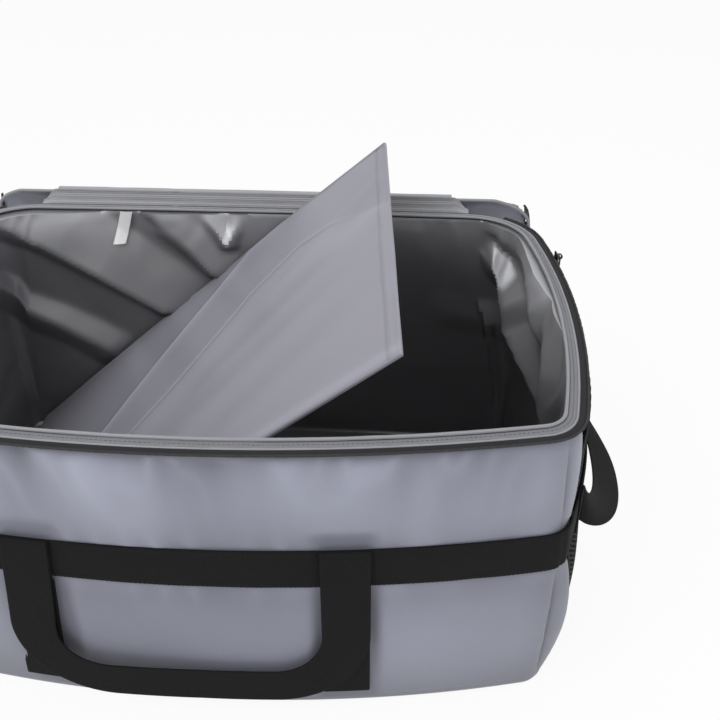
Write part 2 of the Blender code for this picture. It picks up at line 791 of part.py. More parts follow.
def main():
    clear_scene()
    cloth = material("grey_cloth", (0.29, 0.30, 0.35), 0.62)
    foam = material("white_foam", (0.80, 0.80, 0.78), 0.9)
    lining = material("grey_lining", (0.20, 0.20, 0.21), 0.35)
    trim = material("grey_binding", (0.38, 0.38, 0.40), 0.6)
    tape = material("black_tape", (0.02, 0.02, 0.02), 0.7)
    coil = material("black_coil", (0.03, 0.03, 0.03), 0.4)
    webbing = material("black_webbing", (0.02, 0.02, 0.02), 0.75)
    net = material("black_net", (0.015, 0.015, 0.015), 0.7)
    cover = material("board_cloth", (0.36, 0.36, 0.40), 0.5)
    core = material("board_core", (0.75, 0.75, 0.72), 0.6)
    metal = material("dark_metal", (0.05, 0.05, 0.055), 0.3, 1.0)
    white = material("white_label", (0.85, 0.85, 0.85), 0.6)
    build_walls(cloth, foam, lining)
    build_rim(trim, tape, coil)
    build_hinge_strip(trim)
    build_lid(cloth, foam, lining, trim, tape, coil)
    build_band(webbing)
    build_straps(webbing)
    build_handle("front", webbing)
    build_handle("back", webbing)
    for where, side in (("right", 1), ("left", -1)):
        build_pocket(where, side, net, webbing)
        build_side_handle(where, side, webbing)
        build_slider(where, side, metal)
    build_board(cover, core)
    build_label(white)


main()
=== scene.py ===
import math

import bmesh
import bpy
import numpy as np
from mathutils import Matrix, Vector
from mathutils.geometry import delaunay_2d_cdt


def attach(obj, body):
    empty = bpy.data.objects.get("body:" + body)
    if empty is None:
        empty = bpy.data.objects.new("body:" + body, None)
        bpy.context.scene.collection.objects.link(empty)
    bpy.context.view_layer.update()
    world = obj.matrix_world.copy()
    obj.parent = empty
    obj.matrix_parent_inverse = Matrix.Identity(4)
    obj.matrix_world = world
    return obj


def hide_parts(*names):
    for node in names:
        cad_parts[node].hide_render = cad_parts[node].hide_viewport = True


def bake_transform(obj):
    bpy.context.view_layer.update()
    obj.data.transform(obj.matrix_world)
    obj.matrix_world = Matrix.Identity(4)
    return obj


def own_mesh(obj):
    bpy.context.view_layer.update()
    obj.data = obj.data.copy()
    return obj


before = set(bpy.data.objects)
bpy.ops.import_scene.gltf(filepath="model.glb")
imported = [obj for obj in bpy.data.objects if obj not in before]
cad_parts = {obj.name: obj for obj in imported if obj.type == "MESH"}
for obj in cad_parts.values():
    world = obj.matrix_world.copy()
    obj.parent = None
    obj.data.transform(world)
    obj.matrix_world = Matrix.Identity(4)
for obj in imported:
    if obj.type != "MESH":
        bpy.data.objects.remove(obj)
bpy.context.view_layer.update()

mm = 0.001

# The bag's plan and wall, the same sizes as its solids
bag = {
    "height": 290 * mm, "rimHalfWidth": 286 * mm, "rimHalfDepth": 178 * mm,
    "baseHalfWidth": 290 * mm, "baseHalfDepth": 172 * mm, "barrel": 4 * mm,
    "rimFrontBulge": 30 * mm, "baseFrontBulge": 33 * mm, "rimSideBulge": 18 * mm, "baseSideBulge": 12 * mm,
    "rimBackBulge": 3 * mm, "baseBackBulge": 4 * mm,
    "rimFrontCorner": 31 * mm, "rimBackCorner": 66 * mm, "baseCorner": 24 * mm,
    "foot": 14 * mm, "gap": 0.3 * mm, "wall": 9.8 * mm, "liningFrom": 8.6 * mm,
    "bandTop": 194 * mm, "bandLow": 156 * mm,
}
upward = np.array([0.0, 0.0, 1.0])


def between(low, high, share):
    return low + (high - low) * share


def ease(share):
    share = np.clip(share, 0.0, 1.0)
    return share * share * (3 - 2 * share)


boardLong, boardWide = 0.531, 0.312


def heading(angle):
    return np.array([math.cos(angle), math.sin(angle)])


def bow(end, turn, t):
    angle = turn * t
    return end * math.sin(angle) / math.sin(turn), end * (math.cos(angle) - math.cos(turn)) / math.sin(turn)


def planAt(z):  # corner centres and radii at a height, and how far each side's bow turns
    share = min(max(z / bag["height"], 0.0), 1.0)
    swell = bag["barrel"] * math.sin(math.pi * share)
    halfWidth = between(bag["baseHalfWidth"], bag["rimHalfWidth"], share) + swell
    halfDepth = between(bag["baseHalfDepth"], bag["rimHalfDepth"], share) + swell * (1 - share)
    front = between(bag["baseCorner"], bag["rimFrontCorner"], share)
    back = between(bag["baseCorner"], bag["rimBackCorner"], share ** 2)
    turns = [2 * math.atan(between(bag["base" + side + "Bulge"], bag["rim" + side + "Bulge"], share) / reach)
             for side, reach in (("Front", halfWidth), ("Side", halfDepth), ("Back", halfWidth))]
    frontCentre = np.array([halfWidth - front, front - halfDepth])
    backCentre = np.array([halfWidth - back, halfDepth - back])
    return frontCentre, front, backCentre, back, turns


planCache = {}


def outlineAt(place, z):  # the outline's point and outward normal at (stretch, share, side)
    stretch, t, side = place
    key = round(z * 1e6)
    if key not in planCache:
        planCache[key] = planAt(z)
    frontCentre, front, backCentre, back, (frontTurn, sideTurn, backTurn) = planCache[key]
    if stretch == "front":
        angle = frontTurn * t - math.pi / 2
        along, off = bow(frontCentre[0] + front * math.sin(frontTurn), frontTurn, t)
        point = (along, frontCentre[1] - front * math.cos(frontTurn) - off)
    elif stretch == "frontCorner":
        angle = between(frontTurn, math.pi / 2 - sideTurn, t) - math.pi / 2
        point = frontCentre + front * heading(angle)
    elif stretch == "side":
        angle = sideTurn * t
        near = frontCentre + front * heading(-sideTurn)
        far = backCentre + back * heading(sideTurn)
        along, off = bow((far[1] - near[1]) / 2, sideTurn, t)
        point = (between(near[0], far[0], (t + 1) / 2) + off, (near[1] + far[1]) / 2 + along)
    elif stretch == "backCorner":
        angle = between(sideTurn, math.pi / 2 - backTurn, t)
        point = backCentre + back * heading(angle)
    else:
        angle = math.pi / 2 - backTurn * t
        along, off = bow(backCentre[0] + back * math.sin(backTurn), backTurn, t)
        point = (along, backCentre[1] + back * math.cos(backTurn) + off)
    return np.array([side * point[0], point[1]]), np.array([side * math.cos(angle), math.sin(angle)])


def wallPoint(place, climb, depth):  # this deep behind the outer face; the foot curls in under the bag
    foot = bag["foot"]
    if climb < foot:
        turn, radius = (1 - climb / foot) * math.pi / 2, foot - depth
        point, normal = outlineAt(place, foot)
        flat = point - normal * (foot - radius * math.cos(turn))
        return np.array([flat[0], flat[1], foot - radius * math.sin(turn)])
    point, normal = outlineAt(place, climb)
    flat = point - normal * depth
    return np.array([flat[0], flat[1], climb])


def outAt(place, z):  # the outward direction in space
    return np.array([*outlineAt(place, z)[1], 0.0])


# Once round the bag: (stretch, side, start, end)
fullLoop = [("backCorner", -1, 1, 0), ("side", -1, 1, -1), ("frontCorner", -1, 1, 0), ("front", 1, -1, 1),
            ("frontCorner", 1, 0, 1), ("side", 1, -1, 1), ("backCorner", 1, 0, 1), ("back", 1, 1, -1)]


def rimPoint(place):
    return outlineAt(place, bag["height"])[0]


def placesAlong(stretches, step):  # places about one step apart, each shared end given once
    places = []
    for stretch, side, start, end in stretches:
        length = distances([rimPoint((stretch, between(start, end, i / 8), side)) for i in range(9)])[-1]
        count = max(2, round(length / step))
        places += [(stretch, between(start, end, i / count), side) for i in range(count)]
    places.append((stretches[-1][0], stretches[-1][3], stretches[-1][1]))
    return places


def distances(points, closed=False):  # how far along a line each of its points lies
    points = np.asarray(points, float)
    if closed:
        points = np.concatenate([points, points[:1]])
    return np.concatenate([[0.0], np.cumsum(np.linalg.norm(np.diff(points, axis=0), axis=1))])


def loopPlaces(step):  # places round the whole rim, their distance along it, and its length
    places = placesAlong(fullLoop, step)
    arc = distances([rimPoint(place) for place in places])
    return places[:-1], arc[:-1], arc[-1]


def placeWhere(stretch, side, axis, wanted, z):  # the place of a stretch whose x or y is as wanted
    low, high = -1.0, 1.0
    halvings = 30
    for _ in range(halvings):
        middle = (low + high) / 2
        if outlineAt((stretch, middle, side), z)[0][axis] < wanted:
            low = middle
        else:
            high = middle
    return (stretch, (low + high) / 2, side)


# Smooth noise on a lattice, the same each run
def softNoise(u, v, seed, cells=64):
    table = np.random.default_rng(seed).random((cells, cells))
    u, v = np.asarray(u, float), np.asarray(v, float)
    i, j = np.floor(u).astype(int), np.floor(v).astype(int)
    a, b = ease(u - i), ease(v - j)
    corner = [[table[(i + p) % cells, (j + q) % cells] for q in (0, 1)] for p in (0, 1)]
    low = between(corner[0][0], corner[1][0], a)
    high = between(corner[0][1], corner[1][1], a)
    return between(low, high, b) * 2 - 1


def ridgedNoise(u, v, seed):
    return 1 - np.abs(softNoise(u, v, seed)) * 2


# Meshes
def linked(name, data):
    thing = bpy.data.objects.new(name, data)
    bpy.context.scene.collection.objects.link(thing)
    return thing


def newPiece(name, points, faces, finish, uv=None, smooth=True, sharp=40):
    mesh = bpy.data.meshes.new(name)
    mesh.from_pydata(np.asarray(points, float).tolist(), [], faces)
    if uv is not None:
        layer = mesh.uv_layers.new(name="cloth")
        layer.data.foreach_set("uv", np.asarray(uv, np.float32).ravel())
    mesh.materials.append(finish)
    if smooth:
        mesh.shade_smooth()
        mesh.set_sharp_from_angle(angle=math.radians(sharp))
    return linked(name, mesh)


def gridMesh(rings, along, across, closedRows=False, closedColumns=True, flip=False, caps=False):
    # faces between equal rings, and a map of them in metres that isn't torn at the joins
    rows, columns = len(rings), len(rings[0])
    faces, uv = [], []
    for i in range(rows if closedRows else rows - 1):
        k = (i + 1) % rows
        for j in range(columns if closedColumns else columns - 1):
            m = (j + 1) % columns
            face = [i * columns + j, k * columns + j, k * columns + m, i * columns + m]
            corners = [(along[i], across[j]), (along[i + 1], across[j]),
                       (along[i + 1], across[j + 1]), (along[i], across[j + 1])]
            faces.append(face[::-1] if flip else face)
            uv += corners[::-1] if flip else corners
    if caps:
        for row, order in ((0, range(columns - 1, -1, -1)), (rows - 1, range(columns))):
            order = list(order)[::-1] if flip else list(order)
            faces.append([row * columns + j for j in order])
            uv += [(along[row], across[j]) for j in order]
    return faces, uv


def sweptPiece(name, rings, finish, closed=False, sharp=50):  # skins closed sections set one after another
    rings = [np.asarray(ring, float) for ring in rings]
    along = distances([ring.mean(axis=0) for ring in rings], closed)
    across = distances(rings[len(rings) // 2], True)
    faces, uv = gridMesh(rings, along, across, closedRows=closed, caps=not closed)
    return pointOutwards(newPiece(name, np.concatenate(rings), faces, finish, uv, sharp=sharp))


def wallSweep(name, places, section, finish, closed=False, sharp=50):
    # carries a section, a list of (level, depth), along the wall
    rings = [[wallPoint(place, z, depth) for z, depth in section(place, i)] for i, place in enumerate(places)]
    return sweptPiece(name, rings, finish, closed, sharp)


def pointOutwards(piece):
    builder = bmesh.new()
    builder.from_mesh(piece.data)
    bmesh.ops.recalc_face_normals(builder, faces=builder.faces)
    builder.to_mesh(piece.data)
    builder.free()
    return piece


def setAttribute(piece, name, values):
    attribute = piece.data.attributes.new(name, "FLOAT", "POINT")
    attribute.data.foreach_set("value", np.asarray(values, np.float32).ravel())


def evaluated(piece):  # its mesh with the modifiers applied
    return bpy.data.meshes.new_from_object(piece.evaluated_get(bpy.context.evaluated_depsgraph_get()))


def bevelled(piece, width):
    edge = piece.modifiers.new("edge", "BEVEL")
    edge.width, edge.segments, edge.limit_method = width, 3, "ANGLE"
    piece.data = evaluated(piece)
    piece.modifiers.clear()
    return piece


def joined(name, parts):  # finished pieces as one mesh
    with bpy.context.temp_override(active_object=parts[0], selected_editable_objects=parts):
        bpy.ops.object.join()
    parts[0].name = name
    return parts[0]


# Shader building
def addNode(tree, kind, values=None, **settings):
    node = tree.nodes.new(kind)
    for key, value in settings.items():
        setattr(node, key, value)
    for key, value in (values or {}).items():
        node.inputs[key].default_value = value
    return node


def wire(tree, source, target):
    tree.links.new(source, target)


def newFinish(name):
    finish = bpy.data.materials.new(name)
    finish.use_nodes = True
    return finish, finish.node_tree, finish.node_tree.nodes["Principled BSDF"]


def maths(tree, operation, a, b=0.5):
    node = addNode(tree, "ShaderNodeMath", operation=operation)
    for socket, value in zip(node.inputs, (a, b)):
        if isinstance(value, bpy.types.NodeSocket):
            wire(tree, value, socket)
        else:
            socket.default_value = value
    return node.outputs[0]


def times(tree, a, b):
    return maths(tree, "MULTIPLY", a, b)


def plus(tree, a, b):
    return maths(tree, "ADD", a, b)


def minus(tree, a, b):
    return maths(tree, "SUBTRACT", a, b)


def bumped(tree, shader, height, strength, depth):
    bump = addNode(tree, "ShaderNodeBump", {"Strength": strength, "Distance": depth})
    wire(tree, height, bump.inputs["Height"])
    wire(tree, bump.outputs[0], shader.inputs["Normal"])


def newGroup(name, inputs, outputs):
    group = bpy.data.node_groups.new(name, "ShaderNodeTree")
    for title, kind, value in inputs:
        socket = group.interface.new_socket(name=title, in_out="INPUT", socket_type=kind)
        if value is not None:
            socket.default_value = value
    for title, kind in outputs:
        group.interface.new_socket(name=title, in_out="OUTPUT", socket_type=kind)
    return group, addNode(group, "NodeGroupInput"), addNode(group, "NodeGroupOutput")


def buildWeaveGroup():  # over and under threads, from a coordinate in metres
    group, source, result = newGroup(
        "weave", [("Vector", "NodeSocketVector", None), ("Threads", "NodeSocketFloat", 1400.0),
                  ("Across", "NodeSocketFloat", 1400.0)],
        [("Height", "NodeSocketFloat"), ("Gap", "NodeSocketFloat")])
    split = addNode(group, "ShaderNodeSeparateXYZ")
    wire(group, source.outputs["Vector"], split.inputs[0])
    waves = []
    for axis, count in (("X", "Threads"), ("Y", "Across")):
        turn = times(group, times(group, split.outputs[axis], source.outputs[count]), math.pi)
        wave = maths(group, "SINE", turn)
        waves.append((wave, maths(group, "ABSOLUTE", wave)))
    over = times(group, waves[0][0], waves[1][0])
    side = maths(group, "GREATER_THAN", over, 0.0)
    warp = times(group, waves[0][1], side)
    weft = times(group, waves[1][1], minus(group, 1.0, side))
    height = plus(group, warp, weft)
    wire(group, height, result.inputs["Height"])
    wire(group, maths(group, "LESS_THAN", height, 0.35), result.inputs["Gap"])
    return group


def buildToneGroup():  # slow and fine drift of shade over a surface, centred on one
    group, source, result = newGroup(
        "toneDrift", [("Vector", "NodeSocketVector", None), ("Scale", "NodeSocketFloat", 9.0),
                      ("Slow", "NodeSocketFloat", 0.1), ("Fine", "NodeSocketFloat", 0.05)],
        [("Tone", "NodeSocketFloat"), ("Grain", "NodeSocketFloat")])
    slow = addNode(group, "ShaderNodeTexNoise", {"Detail": 3.0, "Roughness": 0.5})
    fine = addNode(group, "ShaderNodeTexNoise", {"Detail": 2.0, "Roughness": 0.6})
    fineScale = times(group, source.outputs["Scale"], 60.0)
    for noise, scale in ((slow, source.outputs["Scale"]), (fine, fineScale)):
        wire(group, source.outputs["Vector"], noise.inputs["Vector"])
        wire(group, scale, noise.inputs["Scale"])
    parts = [times(group, minus(group, noise.outputs["Fac"], 0.5), source.outputs[name])
             for noise, name in ((slow, "Slow"), (fine, "Fine"))]
    wire(group, plus(group, plus(group, parts[0], parts[1]), 1.0), result.inputs["Tone"])
    wire(group, fine.outputs["Fac"], result.inputs["Grain"])
    return group


weaveGroup = buildWeaveGroup()
toneGroup = buildToneGroup()


def scaledColour(tree, colour, tone):
    node = addNode(tree, "ShaderNodeVectorMath", {0: colour}, operation="SCALE")
    wire(tree, tone, node.inputs["Scale"])
    return node.outputs[0]


def clothFinish(name, look):  # one woven or coated cloth, from its dictionary of looks
    finish, tree, shader = newFinish(name)
    for socket, value in look["shader"].items():
        shader.inputs[socket].default_value = value
    place = addNode(tree, "ShaderNodeTexCoord")
    coordinate = place.outputs["UV"] if look.get("uv", True) else place.outputs["Object"]
    tone = addNode(tree, "ShaderNodeGroup", {key: look[key] for key in ("Scale", "Slow", "Fine")},
                   node_tree=toneGroup)
    wire(tree, place.outputs["Object"], tone.inputs["Vector"])
    level = tone.outputs["Tone"]
    if "attribute" in look:  # painted light and shade: folds are painted a little paler on their crests and darker in their hollows
        mark = addNode(tree, "ShaderNodeAttribute", attribute_name=look["attribute"])
        level = plus(tree, level, times(tree, mark.outputs["Fac"], look["crest"]))
    threads = {"Threads": look["threads"], "Across": look.get("across", look["threads"])}
    weave = addNode(tree, "ShaderNodeGroup", threads, node_tree=weaveGroup)
    wire(tree, coordinate, weave.inputs["Vector"])
    level = minus(tree, level, times(tree, weave.outputs["Gap"], look["gapShade"]))
    wire(tree, scaledColour(tree, look["colour"], level), shader.inputs["Base Color"])
    rough = times(tree, minus(tree, tone.outputs["Grain"], 0.5), look["roughSpread"])
    wire(tree, plus(tree, rough, look["rough"]), shader.inputs["Roughness"])
    height = plus(tree, times(tree, weave.outputs["Height"], look["weaveHeight"]),
                   times(tree, tone.outputs["Grain"], look["grainHeight"]))
    bumped(tree, shader, height, look["bump"], look["bumpDepth"])
    return finish


def look(colour, rough, **changes):
    return {"colour": colour, "rough": rough, "roughSpread": 0.12, "Scale": 7.0, "Slow": 0.16, "Fine": 0.08,
            "threads": 1500.0, "gapShade": 0.10, "weaveHeight": 0.6, "grainHeight": 0.5, "bump": 0.35,
            "bumpDepth": 0.12 * mm, "shader": {}, **changes}


# oxford, lining and board paint light and shade into their colour from their 'fold' attribute, as strongly as
# crest says
clothLooks = {
    "oxford": ("oxfordCloth", (0.228, 0.235, 0.292), 0.47, {
        "threads": 1300.0, "attribute": "fold", "crest": 0.34, "Slow": 0.2,
        "shader": {"Specular IOR Level": 0.42, "Sheen Weight": 0.2, "Sheen Roughness": 0.4}}),
    "lining": ("liningFilm", (0.185, 0.186, 0.196), 0.34, {
        "threads": 2200.0, "gapShade": 0.03, "weaveHeight": 0.25, "bump": 0.18,
        "attribute": "fold", "crest": 0.30, "Slow": 0.20, "Scale": 11.0,
        "shader": {"Specular IOR Level": 0.6, "Metallic": 0.35, "Coat Weight": 0.2, "Coat Roughness": 0.25}}),
    "board": ("boardCloth", (0.268, 0.265, 0.312), 0.42, {
        "threads": 1700.0, "gapShade": 0.05, "weaveHeight": 0.4, "bump": 0.22,
        "attribute": "fold", "crest": 0.30, "Slow": 0.12,
        "shader": {"Specular IOR Level": 0.5, "Sheen Weight": 0.2, "Sheen Roughness": 0.35}}),
    "binding": ("bindingTape", (0.175, 0.178, 0.195), 0.58, {
        "threads": 900.0, "across": 1500.0, "gapShade": 0.16, "bump": 0.5}),
    "hinge": ("hingeCloth", (0.32, 0.322, 0.34), 0.52, {
        "threads": 1300.0, "gapShade": 0.08, "shader": {"Specular IOR Level": 0.5}}),
    "piping": ("pipingCloth", (0.27, 0.272, 0.29), 0.5, {"threads": 1200.0, "bump": 0.4}),
    "webbing": ("blackWebbing", (0.0105, 0.0105, 0.0115), 0.78, {
        "threads": 530.0, "across": 850.0, "gapShade": 0.35, "weaveHeight": 1.0, "bump": 0.8,
        "bumpDepth": 0.25 * mm, "Slow": 0.25, "shader": {"Specular IOR Level": 0.12}}),
    "zipTape": ("zipTape", (0.016, 0.016, 0.018), 0.75, {
        "threads": 1100.0, "gapShade": 0.3, "bump": 0.6, "shader": {"Specular IOR Level": 0.25}}),
    "net": ("pocketNet", (0.011, 0.011, 0.012), 0.7, {
        "threads": 1400.0, "gapShade": 0.2, "shader": {"Specular IOR Level": 0.2}}),
    "satin": ("satinTag", (0.80, 0.80, 0.80), 0.42, {
        "threads": 2600.0, "gapShade": 0.05, "bump": 0.2, "Slow": 0.04, "Fine": 0.03,
        "shader": {"Sheen Weight": 0.2}}),
    "blackThread": ("blackThread", (0.016, 0.016, 0.018), 0.7, {
        "threads": 3000.0, "uv": False, "shader": {"Specular IOR Level": 0.2}}),
    "greyThread": ("greyThread", (0.09, 0.091, 0.1), 0.6, {"threads": 3000.0, "uv": False}),
}
finishes = {key: clothFinish(name, look(colour, rough, **changes))
            for key, (name, colour, rough, changes) in clothLooks.items()}


def plasticFinish(name, colour, rough, metallic, grain):
    finish, tree, shader = newFinish(name)
    shader.inputs["Metallic"].default_value = metallic
    place = addNode(tree, "ShaderNodeTexCoord")
    tone = addNode(tree, "ShaderNodeGroup", {"Scale": grain, "Slow": 0.3, "Fine": 0.2}, node_tree=toneGroup)
    wire(tree, place.outputs["Object"], tone.inputs["Vector"])
    wire(tree, scaledColour(tree, colour, tone.outputs["Tone"]), shader.inputs["Base Color"])
    wire(tree, plus(tree, times(tree, tone.outputs["Grain"], 0.2), rough),
         shader.inputs["Roughness"])
    bumped(tree, shader, tone.outputs["Grain"], 0.15, 0.05 * mm)
    return finish


finishes["zipTeeth"] = plasticFinish("zipNylon", (0.013, 0.013, 0.015), 0.34, 0.0, 60.0)
finishes["metal"] = plasticFinish("darkMetal", (0.07, 0.07, 0.075), 0.18, 1.0, 80.0)
print("finishes made:", len(finishes))


# Stitches and zip teeth, repeated along paths with Geometry Nodes
def ballShape(tree, source, segments, rings, sizes):  # a ball, stretched by the named inputs
    ball = addNode(tree, "GeometryNodeMeshUVSphere", {"Segments": segments, "Rings": rings, "Radius": 0.5})
    scale = addNode(tree, "ShaderNodeCombineXYZ")
    for axis, title in zip("XYZ", sizes):
        wire(tree, source.outputs[title], scale.inputs[axis])
    formed = addNode(tree, "GeometryNodeTransform")
    wire(tree, ball.outputs["Mesh"], formed.inputs["Geometry"])
    wire(tree, scale.outputs[0], formed.inputs["Scale"])
    return formed.outputs["Geometry"]


def buildRepeatTree(name, finish, shape):
    tree = bpy.data.node_groups.new(name, "GeometryNodeTree")
    tree.interface.new_socket(name="Geometry", in_out="INPUT", socket_type="NodeSocketGeometry")
    sizes = {"Pitch": 3 * mm, "Long": 2.4 * mm, "Thick": 0.5 * mm, "Seed": 3}
    for title, value in sizes.items():
        kind = "NodeSocketInt" if title == "Seed" else "NodeSocketFloat"
        tree.interface.new_socket(name=title, in_out="INPUT", socket_type=kind).default_value = value
    tree.interface.new_socket(name="Geometry", in_out="OUTPUT", socket_type="NodeSocketGeometry")
    source, result = addNode(tree, "NodeGroupInput"), addNode(tree, "NodeGroupOutput")
    curve = addNode(tree, "GeometryNodeMeshToCurve")
    spaced = addNode(tree, "GeometryNodeResampleCurve", mode="LENGTH")
    tangent = addNode(tree, "GeometryNodeInputTangent")
    along = addNode(tree, "FunctionNodeAlignRotationToVector", axis="X")
    outward = addNode(tree, "GeometryNodeInputNamedAttribute", {"Name": "outward"}, data_type="FLOAT_VECTOR")
    upright = addNode(tree, "FunctionNodeAlignRotationToVector", axis="Z", pivot_axis="X")
    size = addNode(tree, "FunctionNodeRandomValue", {0: (0.9, 0.85, 0.85), 1: (1.05, 1.15, 1.15)},
                   data_type="FLOAT_VECTOR")
    placed = addNode(tree, "GeometryNodeInstanceOnPoints")
    real = addNode(tree, "GeometryNodeRealizeInstances")
    coated = addNode(tree, "GeometryNodeSetMaterial", {"Material": finish})
    for start, end in (
            (source.outputs["Geometry"], curve.inputs["Mesh"]),
            (curve.outputs["Curve"], spaced.inputs["Curve"]),
            (source.outputs["Pitch"], spaced.inputs["Length"]), (tangent.outputs[0], along.inputs["Vector"]),
            (along.outputs[0], upright.inputs["Rotation"]),
            (outward.outputs["Attribute"], upright.inputs["Vector"]),
            (source.outputs["Seed"], size.inputs["Seed"]), (spaced.outputs["Curve"], placed.inputs["Points"]),
            (ballShape(tree, source, *shape), placed.inputs["Instance"]),
            (upright.outputs[0], placed.inputs["Rotation"]), (size.outputs[0], placed.inputs["Scale"]),
            (placed.outputs["Instances"], real.inputs["Geometry"]),
            (real.outputs["Geometry"], coated.inputs["Geometry"]),
            (coated.outputs["Geometry"], result.inputs["Geometry"])):
        wire(tree, start, end)
    return tree


stitchShape = (6, 4, ("Long", "Thick", "Thick"))  # a short thread, fat in its middle
toothShape = (8, 5, ("Thick", "Long", "Long"))  # one turn of the nylon coil, seen as a bar across the zip
repeatTrees = {
    "blackStitch": buildRepeatTree("blackStitch", finishes["blackThread"], stitchShape),
    "greyStitch": buildRepeatTree("greyStitch", finishes["greyThread"], stitchShape),
    "zipTooth": buildRepeatTree("zipTooth", finishes["zipTeeth"], toothShape),
}


def repeatAlong(name, kind, paths, body, pitch, long, thick):
    # copies a stitch or a tooth along paths of (points, outward directions, closed)
    points, edges, outward = [], [], []
    for line, out, closed in paths:
        first = len(points)
        points += [tuple(p) for p in line]
        outward += [tuple(o) for o in out]
        edges += [(first + i, first + i + 1) for i in range(len(line) - 1)]
        if closed:
            edges.append((len(points) - 1, first))
    mesh = bpy.data.meshes.new(name + "Path")
    mesh.from_pydata(points, edges, [])
    attribute = mesh.attributes.new("outward", "FLOAT_VECTOR", "POINT")
    attribute.data.foreach_set("vector", np.array(outward, np.float32).ravel())
    guide = linked(name + "Path", mesh)
    tree = repeatTrees[kind]
    modifier = guide.modifiers.new("repeat", "NODES")
    modifier.node_group = tree
    sockets = {item.name: item.identifier for item in tree.interface.items_tree if item.in_out == "INPUT"}
    for title, value in {"Pitch": pitch, "Long": long, "Thick": thick}.items():
        modifier[sockets[title]] = value
    made = evaluated(guide)
    made.shade_smooth()
    piece = linked(name, made)
    bpy.data.objects.remove(guide)
    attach(piece, body)
    return piece


# Outer cloth: it puffs a little between its seams, gathers under the zip and swells at the sides
shellLook = {
    "step": 2.7 * mm, "rows": 105, "top": 287.4 * mm, "topSeam": 286 * mm,
    "puffHigh": 3.2 * mm, "puffLow": 3.6 * mm,
    "gather": 2.6 * mm, "gatherFade": 30 * mm, "gatherWave": 17 * mm, "pleat": 5.0 * mm, "pleatFade": 60 * mm,
    "pleatWave": 70 * mm, "tuckFade": 0.014, "seamStart": 0.004, "drift": 2.4 * mm, "driftWave": 120 * mm,
    "seamShare": 0.45, "seamDepth": 1.8 * mm, "seamWidth": 2.0 * mm,
    "seamHold": 0.55, "seamHoldWidth": 0.016,
    "pucker": 0.5 * mm, "puckerWidth": 0.012,
    "strapHalf": 19 * mm, "strapCentre": 120 * mm, "strapFade": 0.012,
    "pressRise": 24 * mm, "sideBelly": 10 * mm, "bellyAtSeam": 0.75, "sideShare": 0.6, "lowShade": 0.35,
    "foldDepth": 3 * mm,
}
shellPlaces, shellArc, loopLength = loopPlaces(shellLook["step"])


def seamArcs():  # where the upright corner seams cross the rim
    found = []
    for wanted in (("frontCorner", -1), ("frontCorner", 1), ("backCorner", 1), ("backCorner", -1)):
        best = min((abs(place[1] - shellLook["seamShare"]), arc) for place, arc in zip(shellPlaces, shellArc)
                   if (place[0], place[2]) == wanted)
        found.append(best[1])
    return found


cornerSeams = seamArcs()


def sideBelly(stretch, t, z):  # the side panels swell below the band, from one corner seam to the other
    seam, edge = shellLook["seamShare"], shellLook["bellyAtSeam"]
    onSide = edge + (1 - edge) * ease((1 - np.abs(t)) * 4)
    nearFront, nearBack = edge * ease((t - seam) / (1 - seam)), edge * ease((seam - t) / seam)
    share = np.where(stretch == 2, onSide,
                     np.where(stretch == 1, nearFront, np.where(stretch == 3, nearBack, 0.0)))
    low = np.clip((z - bag["foot"]) / (bag["bandLow"] - bag["foot"]), 0, 1)
    return shellLook["sideBelly"] * share * np.clip(np.sin(math.pi * low), 0, 1) ** 0.7


